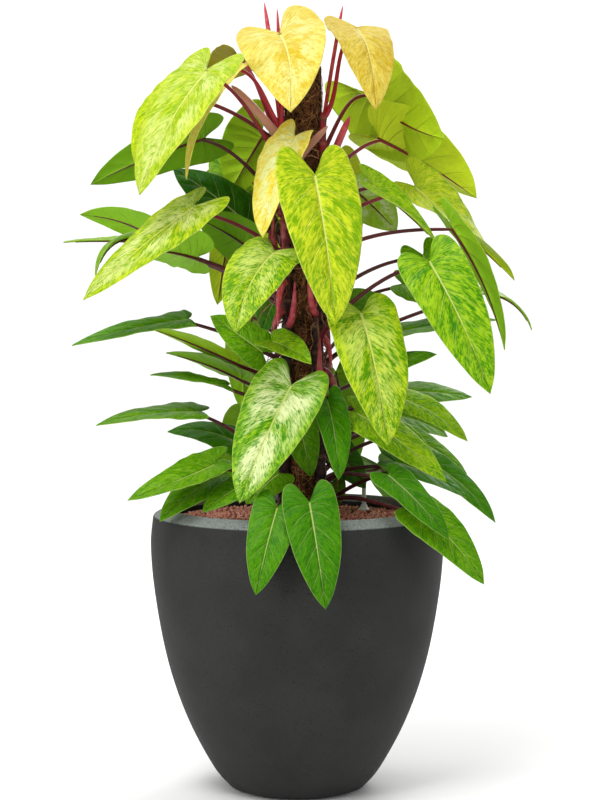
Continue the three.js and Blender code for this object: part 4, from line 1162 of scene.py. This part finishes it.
petiole_skin, tree, shader = new_finish("petiole_skin", 0.36, 0.35)
colour = ramp(tree, attribute(tree, "age"), [
    (0.0, (176, 20, 44)), (0.35, (136, 20, 38)), (0.65, (84, 16, 26)), (1.0, (54, 14, 20)),
])
flecks = blotches(tree, 140, 3, 0.4, 0.65)
coloured(shader, mixed(tree, flecks, colour, (120, 70, 58), 0.15))

for name, leaves in LEAVES.items():
    paths = [petiole_path(STEMS[name], leaf) for leaf in leaves]
    piece = round_shoots(f"petioles_{name}", paths, 10, petiole_skin)
    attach(piece, "root")
    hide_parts(f"leafy_stem_{name}")


# The shoots: rolled new leaves, crimson and pointed, the tan sheath that wrapped one, and the
# maroon sheaths of older leaves, which have stayed on the stems and hang or stand off them.
SHOOTS = {
    "front_left": [
        {"from": 0.915, "tip": (-0.050, 0.557, 0.026), "radius": 0.0034, "age": 0.0},
        {"from": 0.905, "tip": (-0.096, 0.441, -0.030), "radius": 0.0060, "age": 1.0},
        {"from": 0.852, "tip": (0.039, 0.384, -0.075), "radius": 0.0050, "age": 0.9},
    ],
    "front_right": [
        {"from": 0.930, "tip": (0.060, 0.553, 0.026), "radius": 0.0028, "age": 0.0},
        {"from": 0.842, "tip": (0.070, 0.398, -0.030), "radius": 0.0052, "age": 0.1},
    ],
    "back_right": [{"from": 0.880, "tip": (0.018, 0.486, 0.062), "radius": 0.0030, "age": 0.0}],
    "back_left": [{"from": 0.895, "tip": (-0.032, 0.549, 0.030), "radius": 0.0028, "age": 0.0}],
}
SHEATHS = {"lowest": 0.560, "per_stem": 11, "length": 0.058, "radius": 0.0052}


def seeded_draw(seed):
    """A repeatable draw of numbers from 0 to 1."""
    state = seed
    while True:
        state = (state * 1664525 + 1013904223) % 4294967296
        yield state / 4294967296


def arc(start, middle, end, steps):
    """Points along a bow from start to end, pulled towards the middle one."""
    t = np.linspace(0, 1, steps)
    return np.outer((1 - t) ** 2, start) + np.outer(2 * t * (1 - t), middle) + np.outer(t**2, end), t


def shoot_path(stem, shoot):
    """A shoot's points, radii and ages, from inside its stem to its point."""
    base, end = stem_point(stem, shoot["from"]), seen(*shoot["tip"])
    lift = end - base
    points, t = arc(base, base + 0.5 * lift + np.array([0, 0, 0.06 * np.linalg.norm(lift)]), end, 16)
    return points, shoot["radius"] * (1 - 0.85 * t**10), [shoot["age"]] * len(t)


def away_from_pole(place, turn):
    """The level direction from the pole to a place, turned about the pole."""
    away = place - np.array([POLE["x"], 0, place[2]])
    away = away / np.linalg.norm(away)
    return np.array([
        away[0] * math.cos(turn) - away[1] * math.sin(turn),
        away[0] * math.sin(turn) + away[1] * math.cos(turn), 0,
    ])


def sheath_path(stem, number, draw):
    """An old sheath's points, radii and ages. Two in three hang."""
    step = (stem["top"] - 0.06 - SHEATHS["lowest"]) / SHEATHS["per_stem"]
    base = stem_point(stem, SHEATHS["lowest"] + step * (number + 0.8 * next(draw)))
    away = away_from_pole(base, 2.6 * (next(draw) - 0.5))
    length = SHEATHS["length"] * (0.7 + 0.7 * next(draw))
    rise = 0.9 if number % 3 == 0 else -0.9
    end = base + length * (0.25 + 0.2 * next(draw)) * away + np.array([0, 0, rise * length])
    points, t = arc(base, base + 0.35 * length * away, end, 12)
    radii = SHEATHS["radius"] * np.minimum(1, 0.45 + 3 * t) * (1 - 0.8 * t**3)
    return points, radii, [0.2 + 0.5 * next(draw)] * len(t)


shoot_skin, tree, shader = new_finish("shoot_skin", 0.4, 0.4)
flecks = blotches(tree, 120, 3, 0.35, 0.65)
colour = ramp(tree, attribute(tree, "age"), [
    (0.0, (176, 16, 46)), (0.25, (168, 34, 52)), (0.65, (104, 24, 38)), (1.0, (196, 146, 120)),
])
coloured(shader, mixed(tree, flecks, colour, mixed(tree, 0.35, colour, (214, 120, 120))))
relief(tree, shader, flecks, 0.0004, 0.5)

for seed, (name, stem) in enumerate(STEMS.items(), start=21):
    draw = seeded_draw(seed)
    paths = [shoot_path(stem, shoot) for shoot in SHOOTS[name]]
    paths += [sheath_path(stem, number, draw) for number in range(SHEATHS["per_stem"])]
    piece = round_shoots(f"shoots_{name}", paths, 14, shoot_skin)
    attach(piece, "root")
    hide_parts(f"leafy_stem_{name}")


# The aerial roots: thin brown roots from the stems. Short ones hang free, long ones wander off
# the pole and hang, and many more creep round it and hold on to the coir.
ROOTS = {"per_stem": 3, "lowest": 0.450, "spacing": 0.150, "radius": 0.0015, "length": 0.046}
LONG_ROOTS = {"per_stem": 16, "lowest": 0.450, "radius": 0.0009, "length": 0.095}
CREEPING_ROOTS = {"per_stem": 26, "radius": 0.0009, "lowest": 0.400}


def hanging_root(stem, number, draw):
    """A short root that hangs from its stem."""
    base = stem_point(stem, ROOTS["lowest"] + ROOTS["spacing"] * (number + 0.5 * next(draw)))
    away = away_from_pole(base, 1.4 * (next(draw) - 0.5))
    length = ROOTS["length"] * (0.7 + 0.6 * next(draw))
    end = base + 0.6 * length * away - np.array([0, 0, 0.8 * length])
    points, t = arc(base, base + 0.55 * length * away, end, 12)
    points += np.outer(0.0016 * np.sin(9 * t + number) * t, [1, 0.6, 0])
    return points, ROOTS["radius"] * (1 - 0.5 * t), [0.5] * len(t)


def long_root(stem, draw):
    """A long thin root that wanders off the pole as it hangs."""
    room = stem["top"] - 0.08 - LONG_ROOTS["lowest"]
    base = stem_point(stem, LONG_ROOTS["lowest"] + room * next(draw))
    away = away_from_pole(base, 3.0 * (next(draw) - 0.5))
    length = LONG_ROOTS["length"] * (0.6 + 0.8 * next(draw))
    reach, fall = 0.1 + 0.35 * next(draw), 0.25 + 0.55 * next(draw)
    end = base + reach * length * away - np.array([0, 0, fall * length])
    points, t = arc(base, base + 0.35 * length * away, end, 22)
    along = np.cross(away, [0, 0, 1])
    swing = 0.005 * np.sin(8 * t + 6 * next(draw)) * t + 0.0014 * np.sin(25 * t) * t
    return points + np.outer(swing, along), LONG_ROOTS["radius"] * (1 - 0.6 * t), [next(draw)] * len(t)


def creeping_root(stem, draw):
    """A root that creeps round the pole."""
    top = stem["top"] - 0.03
    start = CREEPING_ROOTS["lowest"] + (top - CREEPING_ROOTS["lowest"]) * next(draw)
    base = stem_point(stem, start)
    angle = math.atan2(base[1], base[0] - POLE["x"])
    sweep, fall = 3.2 * (next(draw) - 0.5), 0.09 * (next(draw) - 0.6)
    t = np.linspace(0, 1, 18)
    angles = angle + sweep * t + 0.08 * np.sin(11 * t + 5 * next(draw))
    bulge = 0.007 * next(draw) * np.sin(math.pi * t)
    off = 0.0015 + 0.005 * (1 - t) ** 3 + 0.0012 * np.sin(14 * t + 9 * start) + bulge
    radii = POLE["radius"] + off
    heights = start + fall * t + 0.003 * np.sin(7 * t)
    points = np.stack([POLE["x"] + radii * np.cos(angles), radii * np.sin(angles), heights], axis=1)
    return points, CREEPING_ROOTS["radius"] * (1.2 - 0.7 * t), [next(draw)] * len(t)


root_skin, tree, shader = new_finish("root_skin", 0.7, 0.25)
colour = mixed(tree, attribute(tree, "age"), (72, 30, 30), (184, 126, 92))
coloured(shader, mixed(tree, blotches(tree, 260, 3, 0.35, 0.65), colour, (58, 36, 30), 0.5))

for seed, (name, stem) in enumerate(STEMS.items(), start=3):
    draw = seeded_draw(seed)
    paths = [hanging_root(stem, number, draw) for number in range(ROOTS["per_stem"])]
    paths += [long_root(stem, draw) for _ in range(LONG_ROOTS["per_stem"])]
    paths += [creeping_root(stem, draw) for _ in range(CREEPING_ROOTS["per_stem"])]
    piece = round_shoots(f"aerial_roots_{name}", paths, 6, root_skin)
    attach(piece, "root")
    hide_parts(f"leafy_stem_{name}")
